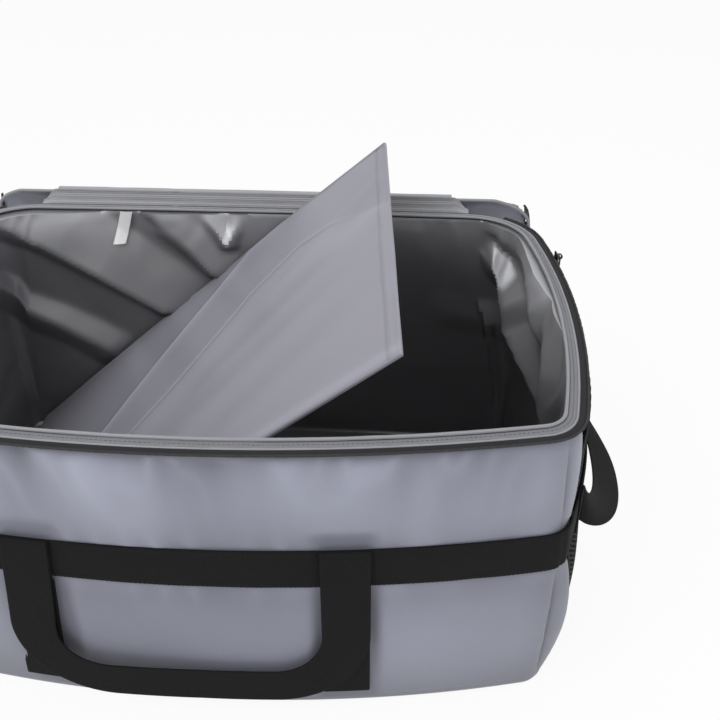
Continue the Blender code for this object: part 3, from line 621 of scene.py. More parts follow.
def swellAt(stretch, t, x, arc, z):  # how far the outer cloth stands off its flat solid, at arrays of places
    style, still = shellLook, 0 * z
    inHigh = np.clip((z - bag["bandTop"]) / (style["topSeam"] - bag["bandTop"]), 0, 1)
    inLow = np.clip((z - bag["foot"]) / (bag["bandLow"] - bag["foot"]), 0, 1)
    high = (z > bag["bandTop"]) * np.sin(math.pi * inHigh) ** 0.6
    low = (z < bag["bandLow"]) * np.sin(math.pi * inLow) ** 0.6
    free = high + low
    fromTop = np.clip(style["topSeam"] - z, 0, None)
    fromBandUp = np.clip(z - bag["bandTop"], 0, None) + (z < bag["bandTop"]) * 1.0
    fromBandDown = np.clip(bag["bandLow"] - z, 0, None) + (z > bag["bandLow"]) * 1.0
    swell = style["puffHigh"] * high + style["puffLow"] * low
    drift = softNoise(arc / style["driftWave"], z / style["driftWave"] * 1.3, 11)
    swell = swell + style["drift"] * drift * free
    slant = arc + (z - bag["height"]) * 0.35 * softNoise(arc / 0.3, still, 5)
    strength = 0.45 + 0.55 * ease(softNoise(arc / 0.12, still, 7) * 0.5 + 0.5) * 1.6
    for kind, tall, seed, start in (("gather", 0.06, 21, style["seamStart"]), ("pleat", 0.16, 33, 0.012)):
        folds = ridgedNoise(slant / style[kind + "Wave"], z / tall, seed)
        fade = np.exp(-fromTop / style[kind + "Fade"]) * ease(fromTop / start)
        swell = swell + style[kind] * folds * strength * fade
    for distance, seed in ((fromBandUp, 41), (fromBandDown, 43)):
        tucks = ridgedNoise(arc / (style["gatherWave"] * 1.3), z / 0.05, seed)
        fade = np.exp(-distance / style["tuckFade"]) * ease(distance / style["seamStart"])
        swell = swell + 0.5 * style["gather"] * tucks * fade
    for seam in cornerSeams:
        off = np.abs((arc - seam + loopLength / 2) % loopLength - loopLength / 2)
        groove = np.exp(-(off / style["seamWidth"]) ** 2)
        pucker = np.exp(-(off / style["puckerWidth"]) ** 2) * softNoise(z / 0.011, still + seam * 40, 51)
        held = style["seamHold"] * np.exp(-(off / style["seamHoldWidth"]) ** 2)
        swell = (swell + pucker * style["pucker"] * free) * (1 - held) - style["seamDepth"] * groove * free
    onFace = (stretch == 0) | (stretch == 4)
    fromStrap = np.abs(np.abs(x) - style["strapCentre"]) - style["strapHalf"]
    underStrap = np.clip(fromStrap / style["strapFade"], 0, 1)
    behind = ease((bag["bandTop"] + style["pressRise"] - z) / (0.7 * style["pressRise"]))
    press = np.where(onFace, 1 - (1 - ease(underStrap)) * behind, 1.0)
    onSide = np.where(stretch == 2, ease((1 - np.abs(t)) * 3) * style["sideShare"], 1.0)
    keep = np.where((z > bag["bandLow"]) & (z < bag["bandTop"]), 0.0, 1.0)
    return (swell * press * onSide + sideBelly(stretch, t, z)) * keep


stretchNumber = {"front": 0, "frontCorner": 1, "side": 2, "backCorner": 3, "back": 4}


def swellGrid(places, arc, climbs):  # the swell at every place and level, and the same without the belly
    stretch = np.array([[stretchNumber[p[0]]] * len(climbs) for p in places])
    t = np.array([[p[1]] * len(climbs) for p in places])
    x = np.array([[outlineAt(p, bag["bandLow"])[0][0]] * len(climbs) for p in places])
    z = np.repeat(np.asarray(climbs)[None, :], len(places), 0)
    swell = swellAt(stretch, t, x, np.repeat(np.asarray(arc)[:, None], len(climbs), 1), z)
    return swell, swell - sideBelly(stretch, t, z)


def innerRings(ring, shares):  # a flat floor as shrinking copies of its outer ring
    centre = np.array([0.0, ring[:, 1].mean(), ring[0, 2]])
    stretched = []
    for share in shares:
        inner = centre + (ring - centre) * np.array([share, share, 1.0])
        inner[:, 2] = ring[:, 2]
        stretched.append(inner)
    return stretched


def makeShell():
    foot, top = bag["foot"], shellLook["top"]
    climbs = [foot * i / 6 for i in range(1, 7)] + list(np.linspace(foot, top, shellLook["rows"])[1:])
    swell, plain = swellGrid(shellPlaces, shellArc, climbs)
    rings = [np.array([wallPoint(place, z, -swell[i, j]) for i, place in enumerate(shellPlaces)])
             for j, z in enumerate(climbs)]
    bottom = np.array([wallPoint(place, 0.0, 0.0) for place in shellPlaces])
    bottom[:, 2] = 0.05 * mm
    floor = innerRings(bottom, (0.02, 0.15, 0.3, 0.45, 0.6, 0.72, 0.82, 0.9, 0.96, 1.0))
    lip = [np.array([wallPoint(place, top + rise, depth) for place in shellPlaces])
           for rise, depth in ((0.5 * mm, 0.5 * mm), (0.6 * mm, 4 * mm), (0.6 * mm, 8 * mm))]
    rings = floor + rings + lip
    count = len(shellPlaces)
    across = list(shellArc) + [loopLength]
    faces, uv = gridMesh(rings, distances([ring[0] for ring in rings]), across, flip=True)
    faces.append(list(range(count)))
    uv += [(shellArc[i], 0.0) for i in range(count)]
    piece = newPiece("outer_cloth", np.concatenate(rings), faces, finishes["oxford"], uv)
    # painted shade: the 'fold' attribute paints the outer cloth paler where its puffs and gathers stand out,
    # darker where they sink in, and darker below the band
    fold = np.zeros((len(rings), count))
    low = ease((bag["bandLow"] - np.array(climbs)[:, None]) / 0.02)
    fold[len(floor):len(floor) + len(climbs)] = ((plain - plain.mean()).T / shellLook["foldDepth"]
                                                 - shellLook["lowShade"] * low)
    setAttribute(piece, "fold", fold)
    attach(piece, "bag")
    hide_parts(*["shell_" + side for side in ("front", "back", "left", "right", "bottom")],
                *["foam_" + side for side in ("front", "back", "left", "right", "bottom")])


makeShell()
print("outer cloth made:", len(shellPlaces), "places round")


# Lining: a loose film that creases into flat facets, held at the rim
liningLook = {
    "step": 3.3 * mm, "top": 286.5 * mm, "rows": 84, "facetAcross": 66 * mm, "facetDown": 62 * mm,
    "depth": 13 * mm, "smooth": 2, "boardRadius": boardLong, "boardHalf": 164.5 * mm, "boardTilt": 41.0,
    "boardFoot": (-265.5 * mm, 10.1 * mm), "clear": 2.0 * mm, "facetShare": 0.55, "wrinkle": 0.9 * mm,
    "ripple": 0.5 * mm, "toneFrom": 7 * mm, "toneSpan": 12 * mm, "rightWall": 1.19, "rightSpread": 0.16,
    "rimHighlight": 0.026, "rimHighlightRight": 0.024,
}
# The lining's folds, in mm: (distance along the rim, level, depth) down each crest, then how
# wide the cloth falls away above it and below it
liningFolds = [
    ([(57, 279, 14), (24, 264, 18), (-12, 253, 20), (-40, 237, 22), (-68, 221, 24), (-100, 200, 24),
      (-132, 179, 24)], 58, 17),
    ([(93, 213, 13), (36, 191, 15), (-28, 156, 17), (-76, 124, 17)], 26, 34),
    ([(-132, 268, 9), (-148, 256, 12), (-160, 245, 15), (-180, 223, 18)], 46, 12),
    ([(-168, 284, 3), (-184, 271, 10), (-196, 256, 18)], 16, 12),
    ([(-196, 256, 18), (-204, 270, 10), (-208, 284, 3)], 14, 12),
    ([(1293, 272, 8), (1272, 270, 7), (1240, 274, 9), (1216, 276, 12), (1184, 272, 18), (1152, 262, 22),
      (1144, 250, 20)], 34, 14),
    ([(1309, 242, 19), (1276, 225, 26), (1236, 211, 28), (1224, 191, 28), (1180, 184, 22),
      (1128, 180, 12)], 24, 30),
    ([(1373, 176, 10), (1345, 170, 12), (1260, 172, 7)], 34, 30),
    ([(1128, 257, 11), (1116, 261, 13), (1104, 254, 15), (1084, 236, 17), (1080, 222, 18),
      (1076, 204, 17), (1084, 185, 11)], 40, 14),
    ([(1068, 193, 14), (1056, 221, 11), (1040, 245, 7), (1022, 268, 3)], 26, 12),
    ([(1440, 262, 12), (1452, 214, 20), (1470, 150, 22)], 30, 18),
    ([(1530, 240, 18), (1500, 180, 20), (1490, 110, 14)], 26, 26),
    ([(150, 262, 12), (170, 200, 20), (220, 150, 18)], 30, 16),
    ([(260, 258, 12), (300, 190, 20), (330, 120, 14)], 26, 26),
    ([(480, 262, 10), (560, 214, 18), (640, 150, 20)], 34, 14),
    ([(760, 250, 12), (700, 190, 18), (720, 120, 16)], 30, 24),
    ([(900, 262, 10), (860, 200, 18), (930, 150, 20)], 28, 16),
]


def facetHeights(points, heights, u, v):
    found = delaunay_2d_cdt([Vector(p) for p in points], [], [], 0, 1e-6)
    corners, triangles, origins = found[0], found[2], found[3]
    level = np.array([heights[o[0]] if o else 0.0 for o in origins])
    out = np.zeros(u.shape)
    for a, b, c in triangles:
        pa, pb, pc = (np.array(corners[k]) for k in (a, b, c))
        area = (pb[0] - pa[0]) * (pc[1] - pa[1]) - (pc[0] - pa[0]) * (pb[1] - pa[1])
        if abs(area) < 1e-12:
            continue
        wb = ((u - pa[0]) * (pc[1] - pa[1]) - (pc[0] - pa[0]) * (v - pa[1])) / area
        wc = ((pb[0] - pa[0]) * (v - pa[1]) - (u - pa[0]) * (pb[1] - pa[1])) / area
        wa = 1 - wb - wc
        inside = (wa >= -1e-6) & (wb >= -1e-6) & (wc >= -1e-6)
        out[inside] = (wa * level[a] + wb * level[b] + wc * level[c])[inside]
    return out


def facetPoints(length):
    style, draw = liningLook, np.random.default_rng(17)
    points, heights = [], []
    columns, levels = round(length / style["facetAcross"]), round(0.27 / style["facetDown"])
    for i in range(columns):
        for j in range(levels):
            points.append(((i + 0.5 * (j % 2) + 0.7 * (draw.random() - 0.5)) * length / columns,
                           0.02 + (j + 0.6 * (draw.random() - 0.5) + 0.5) * 0.255 / levels))
            heights.append(style["depth"] * draw.random() ** 1.3)
    for i in range(columns * 2):
        u = (i + 0.4 * (draw.random() - 0.5)) * length / (columns * 2)
        points += [(u, style["top"] + 1 * mm), (u, 0.004)]
        heights += [0.0, 0.0]
    wrapped = [((u + shift, v), h) for shift in (-length, 0, length) for (u, v), h in zip(points, heights)
               if -0.2 < u + shift < length + 0.2]
    return [p for p, _ in wrapped], [h for _, h in wrapped]


def foldDepth(u, v, crest, above, below, length):  # a sharp crest with a flat fall on either side of it
    deep = np.zeros(u.shape)
    crest = np.array(crest) * mm
    for start, end in zip(crest, crest[1:]):
        run = end[:2] - start[:2]
        du = (u - start[0] + length / 2) % length - length / 2
        share = np.clip((du * run[0] + (v - start[1]) * run[1]) / (run @ run), 0, 1)
        offU, offV = du - share * run[0], v - start[1] - share * run[1]
        off = np.hypot(offU, offV)
        side = run[0] * offV - run[1] * offU  # positive on the left of the run
        upper = side * (1 if run[0] > 0 else -1) > 0
        fall = np.where(upper, above, below) * mm
        deep = np.maximum(deep, between(start[2], end[2], share) * np.clip(1 - off / fall, 0, 1))
    return deep


def liningRoom(point):  # how far in a fold may reach before the board would touch it
    style = liningLook
    x, z = point[0] - style["boardFoot"][0], point[2] - style["boardFoot"][1]
    radius, tilt = math.hypot(x, z), math.degrees(math.atan2(z, x))
    fade, spare, free = 0.012, 3, 0.03
    swept = (ease((style["boardTilt"] + spare - tilt) / spare)
             * ease((style["boardRadius"] + fade - radius) / fade))
    toSide = abs(point[1]) - style["boardHalf"] - style["clear"]
    toEnd = radius - style["boardRadius"] - style["clear"]
    if abs(point[1]) > style["boardHalf"]:
        room = between(free, max(toSide, 0.0), float(swept))
    else:
        room = max(toEnd, 0.0) if tilt < style["boardTilt"] + spare else free
    if x < 0.02:
        room = min(room, max(2 * mm, (point[2] - 30 * mm) * 0.2))
    return room


def makeLining():
    style = liningLook
    places, arc, length = loopPlaces(style["step"])
    climbs = np.linspace(bag["foot"] * 0.2, style["top"], style["rows"])
    points, heights = facetPoints(length)
    u = np.repeat(arc[:, None], len(climbs), 1)
    v = np.repeat(climbs[None, :], len(arc), 0)
    depth = facetHeights(points, heights, u, v) * style["facetShare"]
    for crest, above, below in liningFolds:
        depth = np.maximum(depth * 0.9, foldDepth(u, v, crest, above, below, length)) + 0.1 * depth
    for _ in range(style["smooth"]):
        around = (np.roll(depth, 1, 0) + np.roll(depth, -1, 0)) / 2
        upDown = (np.roll(depth, 1, 1) + np.roll(depth, -1, 1)) / 2
        upDown[:, 0], upDown[:, -1] = depth[:, 0], depth[:, -1]
        depth = depth * 0.6 + around * 0.2 + upDown * 0.2
    fromTop = style["top"] - v
    wrinkles = ridgedNoise(u / 0.021, v / 0.05, 61) * np.exp(-fromTop / 0.03) * ease(fromTop / 0.006)
    depth += style["wrinkle"] * wrinkles
    depth += style["ripple"] * softNoise(u / 0.03, v / 0.03, 67) * ease(fromTop / 0.01)
    depth *= ease((v - climbs[0]) / 0.03)
    rings = []
    for j, z in enumerate(climbs):
        rooms = [liningRoom(wallPoint(place, z, bag["wall"])) for place in places]
        rings.append(np.array([wallPoint(place, z, bag["wall"] + max(0.0, min(depth[i, j], room)))
                               for i, (place, room) in enumerate(zip(places, rooms))]))
    floorRing = rings[0].copy()
    floorRing[:, 2] = bag["wall"] + 0.02 * mm
    floor = innerRings(floorRing, (0.02, 0.2, 0.4, 0.6, 0.75, 0.87, 0.95, 1.0))
    lip = [np.array([wallPoint(place, style["top"] + 0.9 * mm, depthIn) for place in places])
           for depthIn in (bag["wall"] - 0.3 * mm, bag["liningFrom"])]
    rings = floor + rings[1:] + lip
    count = len(places)
    faces, uv = gridMesh(rings, distances([ring[0] for ring in rings]), list(arc) + [length])
    faces.append(list(range(count))[::-1])
    uv += [(arc[i], 0.0) for i in reversed(range(count))]
    piece = newPiece("lining", np.concatenate(rings), faces, finishes["lining"], uv, sharp=24)
    # painted light and shade: the 'fold' attribute paints facets that stand in or face upwards paler and
    # those that face down darker, and paints a highlight along the rim, wider on the right wall
    fold = np.zeros((len(rings), count))
    slope = -np.gradient(depth, climbs, axis=1)
    onRight = np.exp(-((arc[:, None] - style["rightWall"]) / style["rightSpread"]) ** 4)
    rimHighlight = np.exp(-(fromTop / (style["rimHighlight"] + style["rimHighlightRight"] * onRight)) ** 2)
    tone = 0.5 * np.clip((depth - style["toneFrom"]) / style["toneSpan"], -0.8, 1.2)
    tone += 1.7 * np.clip(slope, -0.45, 0.7)
    tone += rimHighlight * (2.3 + 0.9 * onRight) - 0.3
    fold[len(floor):len(floor) + len(climbs) - 1] = tone.T[1:]
    setAttribute(piece, "fold", fold)
    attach(piece, "bag")
    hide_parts(*["lining_" + side for side in ("front", "back", "left", "right", "bottom")])
    return depth, climbs


liningDepth, liningLevels = makeLining()
print("lining made")

# Rim: a grey cord inside, a stitched binding, a thin roll outside and the zip round it
rimLook = {
    "step": 3.0 * mm, "cordLevel": 290.45 * mm, "cordDepth": 10.1 * mm, "cordRadius": 1.5 * mm,
    "bindFrom": 8.3 * mm, "bindWidth": 5.5 * mm, "bindThick": 1.2 * mm, "slope": math.radians(4),
    "bindTop": 289.7 * mm, "grooveShare": 0.52, "groove": 0.3 * mm, "crown": 0.35 * mm,
    "rollDepth": 1.75 * mm, "rollLevel": 288.75 * mm, "rollRadius": 1.05 * mm,
    "tapeFrom": 0.52 * mm, "tapeTop": 289.16 * mm, "tapeSlope": math.radians(6), "tapeWidth": 4.6 * mm,
    "tapeThick": 0.7 * mm, "coilDepth": -5.05 * mm, "coilLevel": 288.57 * mm, "lidCoilLevel": 291.47 * mm,
    "toothPitch": 1.55 * mm, "toothLong": 2.5 * mm, "toothThick": 1.15 * mm, "lidTapeTop": 301.07 * mm,
}
zipRun = [("backCorner", -1, 0.6, 0), ("side", -1, 1, -1), ("frontCorner", -1, 1, 0), ("front", 1, -1, 1),
          ("frontCorner", 1, 0, 1), ("side", 1, -1, 1), ("backCorner", 1, 0, 0.6)]
lidZipRun = [("backCorner", -1, 0.2, 0), *zipRun[1:-1], ("backCorner", 1, 0, 0.2)]


def circle(level, depth, radius, sides):
    turns = [2 * math.pi * i / sides for i in range(sides)]
    return [(level + radius * math.sin(turn), depth + radius * math.cos(turn)) for turn in turns]


def wavering(arc, amount, wave, seed):
    return amount * float(softNoise(arc / wave, 0.0, seed))


def pathAlong(places, depth, level, tilt=0.0):  # a line along the wall with its outward directions
    points = [wallPoint(place, level, depth) for place in places]
    outward = []
    for place in places:
        normal = outlineAt(place, level)[1]
        outward.append((normal[0] * math.cos(tilt), normal[1] * math.cos(tilt), math.sin(tilt)))
    return points, outward


def makeRim():
    style = rimLook
    places, arc, _ = loopPlaces(style["step"])

    def cord(place, i):
        radius = style["cordRadius"] * (1 + wavering(arc[i], 0.05, 0.009, 71))
        level = style["cordLevel"] + wavering(arc[i], 0.15 * mm, 0.03, 72)
        return circle(level, style["cordDepth"], radius, 12)

    def binding(place, i):
        top, under, count = [], [], 14
        lift = wavering(arc[i], 0.12 * mm, 0.006, 73)
        for k in range(count + 1):
            share = k / count
            run = style["bindWidth"] * share
            level = style["bindTop"] - run * math.sin(style["slope"])
            rise = (style["crown"] + lift) * math.sin(math.pi * share)
            rise -= style["groove"] * math.exp(-((share - style["grooveShare"]) / 0.09) ** 2)
            top.append((level + rise, style["bindFrom"] - run))
        for k in (count - 1, count // 2, 1):
            run = style["bindWidth"] * k / count
            under.append((style["bindTop"] - run * math.sin(style["slope"]) - style["bindThick"],
                          style["bindFrom"] - run))
        return top + under

    def roll(place, i):
        radius = style["rollRadius"] * (1 + wavering(arc[i], 0.07, 0.007, 74))
        return circle(style["rollLevel"], style["rollDepth"], radius, 10)

    made = {"rim_cord": (cord, "piping"), "rim_binding_tape": (binding, "binding"),
            "rim_roll": (roll, "piping")}
    for name, (section, finish) in made.items():
        piece = wallSweep(name, places, section, finishes[finish], closed=True)
        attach(piece, "bag")
        if name == "rim_cord":
            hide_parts("rim_piping")
        if name == "rim_binding_tape":
            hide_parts("rim_binding")
    depth = style["bindFrom"] - style["bindWidth"] * style["grooveShare"]
    points, outward = pathAlong(places, depth, style["bindTop"] + 0.05 * mm, math.pi / 2)
    repeatAlong("rim_stitches", "greyStitch", [(points, outward, True)], "bag", 3.4 * mm, 2.5 * mm, 0.55 * mm)


def makeZip(name, level, body, tape, replaced, lid=False):
    style = rimLook
    places = placesAlong(lidZipRun if lid else zipRun, style["step"])
    move = openLid if lid else (lambda points: points)
    rings = [move([wallPoint(place, z, depth) for z, depth in tape(place)]) for place in places]
    strip = sweptPiece(name + "_tape", rings, finishes["zipTape"])
    points, outward = pathAlong(places, style["coilDepth"], level)
    core = circle(level, style["coilDepth"], 0.75 * mm, 6)
    rings = [move([wallPoint(place, z, depth) for z, depth in core]) for place in places]
    middle = sweptPiece(name + "_core", rings, finishes["zipTeeth"])
    for piece, node in ((strip, replaced[0]), (middle, replaced[1])):
        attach(piece, body)
        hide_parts(node)
    points = move(points)
    if lid:
        outward = [lidTurn(direction) for direction in outward]
    teeth = repeatAlong(name + "_teeth", "zipTooth", [(points, outward, False)], body,
                        style["toothPitch"], style["toothLong"], style["toothThick"])


def baseTape(place):
    style, top, under = rimLook, [], []
    for k in range(6):
        run = style["tapeWidth"] * k / 5
        crown = 0.15 * mm * math.sin(math.pi * k / 5)
        level = style["tapeTop"] - run * math.sin(style["tapeSlope"]) + crown
        top.append((level, style["tapeFrom"] - run))
        under.append((level - style["tapeThick"], style["tapeFrom"] - run))
    return top + under[::-1]


# The lid is shaped as if closed, then laid open behind the bag about its hinge
hinge = {"y": 185.5 * mm, "z": 303.5 * mm, "open": math.radians(229), "roll": 1.9 * mm, "inside": 1.0 * mm,
         "low": 279.5 * mm, "rim": 289 * mm, "bend": 0.35, "stitchLean": (0, -0.87, 0.5),
         "tapeReach": 9.0 * mm, "taper": 15 * mm, "seam": -81 * mm, "tapeDrop": 3.2 * mm,
         "steps": 150, "bands": (0.0, 0.36, 0.47, 0.86, 0.97), "stitchShares": (0.12, 0.24, 0.62)}


def lidTurn(direction):
    y, z = direction[1], direction[2]
    c, s = math.cos(-hinge["open"]), math.sin(-hinge["open"])
    return (direction[0], y * c - z * s, y * s + z * c)


def openLid(points):
    moved = []
    for x, y, z in points:
        turned = lidTurn((x, y - hinge["y"], z - hinge["z"]))
        moved.append((turned[0], turned[1] + hinge["y"], turned[2] + hinge["z"]))
    return moved


def lidTape(place):
    style = rimLook
    low, high, depth = style["lidCoilLevel"] + 1.0 * mm, style["lidTapeTop"], style["coilDepth"]
    levels = [between(low, high, k / 5) for k in range(6)]
    return [(z, depth - 0.35 * mm) for z in levels] + [(z, depth + 0.35 * mm) for z in reversed(levels)]


makeRim()
makeZip("zip_base", rimLook["coilLevel"], "bag", baseTape, ("zip_tape_base", "zip_coil_base"))
makeZip("zip_lid", rimLook["lidCoilLevel"], "lid", lidTape, ("zip_tape_lid", "zip_coil_lid"), lid=True)
print("rim and zip made")

# Lid: a soft padded panel with a lining under it and a cord round its edge
lidLook = {"step": 6.0 * mm, "low": 294.6 * mm, "high": 302.6 * mm, "edge": -4.4 * mm, "back": 0.6 * mm,
           "voxel": 5.5 * mm, "pressure": 4.0, "cap": 11 * mm, "frames": 20, "under": 294.3 * mm,
           "seamRise": 5.6 * mm, "backEdge": 177.3 * mm, "fade": 3 * mm,
           "cordRadius": 1.7 * mm, "cordLevel": 302.3 * mm, "cordDepth": -5.2 * mm}


def lidOutline(depth, backDepth, step):
    limit = outlineAt(("back", 1.0, 1), bag["height"])[0][1] - backDepth
    points = []
    for place in loopPlaces(step)[0]:
        point, normal = outlineAt(place, bag["height"])
        point = point - normal * (backDepth if place[0] == "back" else depth)
        if point[1] <= limit + 0.01 * mm:
            points.append(point)
    return np.array(points)


def closedPad(name, loop, low, high, finish):  # a flat closed pad over an outline, with a round edge
    centre = np.array([0.0, loop[:, 1].mean()])
    shares, rings = (0.02, 0.25, 0.5, 0.7, 0.85, 0.95), []
    middle, half = (low + high) / 2, (high - low) / 2
    for share in shares:
        rings.append([(*(centre + (p - centre) * share), low) for p in loop])
    for turn in (-60, -30, 0, 30, 60):
        angle = math.radians(turn)
        inset = 1 - half * 0.9 * (1 - math.cos(angle)) / 0.28
        rings.append([(*(centre + (p - centre) * inset), middle + half * math.sin(angle)) for p in loop])
    for share in reversed(shares):
        rings.append([(*(centre + (p - centre) * share), high) for p in loop])
    faces, _ = gridMesh(rings, [0.0] * (len(rings) + 1), [0.0] * (len(loop) + 1))
    faces += [list(range(len(loop)))[::-1], [(len(rings) - 1) * len(loop) + i for i in range(len(loop))]]
    points = np.concatenate([np.array(ring) for ring in rings])
    return pointOutwards(newPiece(name, points, faces, finish))


def puffed(piece, voxel, pressure, cap, frames, held):
    # remeshes a closed pad and lets Cloth blow it up a little; held says how firmly each point is pinned
    remesh = piece.modifiers.new("remesh", "REMESH")
    remesh.mode, remesh.voxel_size, remesh.use_smooth_shade = "VOXEL", voxel, True
    mesh = evaluated(piece)
    piece.modifiers.clear()
    piece.data = mesh
    start = np.array([vertex.co for vertex in mesh.vertices])
    pins = piece.vertex_groups.new(name="held")
    for index, weight in enumerate(held(start)):
        if weight > 0:
            pins.add([index], float(weight), "REPLACE")
    cloth = piece.modifiers.new("cloth", "CLOTH")
    cloth.settings.quality = 5
    cloth.settings.mass = 0.3
    cloth.settings.tension_stiffness = cloth.settings.compression_stiffness = 12
    cloth.settings.bending_stiffness = 0.6
    cloth.settings.use_pressure = True
    cloth.settings.uniform_pressure_force = pressure
    cloth.settings.vertex_group_mass = "held"
    cloth.settings.effector_weights.gravity = 0.0
    cloth.point_cache.frame_start, cloth.point_cache.frame_end = 1, frames
    scene = bpy.context.scene
    for frameNumber in range(1, frames + 1):
        scene.frame_set(frameNumber)
    mesh = evaluated(piece)
    piece.modifiers.clear()
    scene.frame_set(1)
    moved = np.array([vertex.co for vertex in mesh.vertices])
    shift = moved - start
    length = np.linalg.norm(shift, axis=1, keepdims=True)
    moved = start + shift * np.minimum(1.0, cap / np.maximum(length, 1e-9))
    mesh.vertices.foreach_set("co", moved.ravel())
    piece.data = mesh
    return piece


def makeLid():
    style = lidLook
    loop = lidOutline(style["edge"], style["back"], style["step"])
    pad = closedPad("lid_pad", loop, style["low"], style["high"], finishes["oxford"])
    middle = (style["low"] + style["high"]) / 2

    def held(points):
        return (np.abs(points[:, 2] - middle) < 2.5 * mm) * 1.0

    puffed(pad, style["voxel"], style["pressure"], style["cap"], style["frames"], held)
    points = np.array([vertex.co for vertex in pad.data.vertices])
    top = ease((points[:, 2] - middle) / style["fade"])
    under = ease((middle - points[:, 2]) / style["fade"])
    slant = points[:, 0] / 0.09 + 0.4 * points[:, 1] / 0.09
    points[:, 2] += top * 1.1 * mm * ridgedNoise(slant, points[:, 1] / 0.07, 81)
    points[:, 2] -= under * 1.5 * mm * ridgedNoise(points[:, 0] / 0.06, points[:, 1] / 0.05, 83)
    centre = np.array([0.0, (loop[:, 1].min() + loop[:, 1].max()) / 2])
    reach = np.linalg.norm((points[:, :2] - centre) / np.array([0.29, 0.19]), axis=1)
    lowest = np.where(reach > 0.82, style["under"], style["under"] - ease((0.82 - reach) / 0.3) * 14 * mm)
    lowest = lowest + style["seamRise"] * ease((points[:, 1] - 146 * mm) / (28 * mm))
    points[:, 2] = np.maximum(points[:, 2], lowest)
    points[:, 1] = np.minimum(points[:, 1], style["backEdge"])
    flat = points.copy()
    pad.data.vertices.foreach_set("co", np.array(openLid(points)).ravel())
    layer = pad.data.uv_layers.new(name="cloth")
    corners = np.zeros(len(pad.data.loops), int)
    pad.data.loops.foreach_get("vertex_index", corners)
    layer.data.foreach_set("uv", flat[corners][:, :2].astype(np.float32).ravel())
    pad.data.materials.clear()
    for finish in ("oxford", "lining"):
        pad.data.materials.append(finishes[finish])
    for polygon in pad.data.polygons:
        polygon.material_index = int(flat[list(polygon.vertices)][:, 2].mean() < middle - 1.5 * mm)
        polygon.use_smooth = True
    setAttribute(pad, "fold", (flat[:, 2] - middle) * 0)
    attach(pad, "lid")
    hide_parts("lid_shell", "lid_foam", "lid_lining")
    cordLoop = lidOutline(style["cordDepth"], style["back"] - 4 * mm, 3 * mm)
    cordLoop[:, 1] = np.minimum(cordLoop[:, 1], style["backEdge"] + 0.3 * mm)
    rings = []
    for i, point in enumerate(cordLoop):
        ahead, behind = cordLoop[(i + 1) % len(cordLoop)], cordLoop[i - 1]
        tangent = (ahead - behind) / np.linalg.norm(ahead - behind)
        normal = np.array([tangent[1], -tangent[0]])
        rings.append(openLid([(*(point + normal * style["cordRadius"] * math.cos(a)),
                               style["cordLevel"] + style["cordRadius"] * math.sin(a))
                              for a in np.linspace(0, 2 * math.pi, 11)[:-1]]))
    cord = sweptPiece("lid_cord", rings, finishes["piping"], closed=True)
    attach(cord, "lid")
    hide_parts("lid_skirt")


# Hinge: a sewn strip up from the back rim, and two folds of cloth bent round the hinge
def hingeXs():
    end = outlineAt(("back", 1.0, 1), bag["height"])[0][0]
    return [between(-end, end, i / hinge["steps"]) for i in range(hinge["steps"] + 1)]


def arcPoints(start, end, radius, count):
    turns = [math.radians(between(start, end, i / count)) for i in range(count + 1)]
    return [(hinge["y"] + radius * math.cos(turn), hinge["z"] + radius * math.sin(turn)) for turn in turns]


def hingeFace(place, share, stand):  # a point down the strip's inner face, from its roll to the rim
    top = np.array(arcPoints(-180, -210.5, hinge["roll"], 2)[-1])
    knee, bend = np.array([hinge["y"] - 2.6 * mm, 299.4 * mm]), hinge["bend"]
    low = np.array([wallPoint(place, hinge["rim"], 0.0)[1] + 0.2 * mm, 289.7 * mm])
    if share < bend:
        point = between(top, knee, share / bend)
    else:
        point = between(knee, low, (share - bend) / (1 - bend))
    return tuple(point + np.array([-0.85, 0.5]) * stand)


def bandStand(share, x):  # two flat tapes between thin raised edges, puckered where they are sewn
    stand = 0.1 * mm
    for edge in hinge["bands"]:
        stand += 0.55 * mm * math.exp(-((share - edge) / 0.035) ** 2)
    stand -= 0.8 * mm * math.exp(-((x - hinge["seam"]) / 0.0022) ** 2)
    pucker = float(softNoise(x / 0.009, share * 2, 95)) * 0.25 + float(ridgedNoise(x / 0.034, 0.0, 96)) * 0.35
    return stand + pucker * mm * (0.25 + 0.75 * math.exp(-((share - 0.72) / 0.16) ** 2))


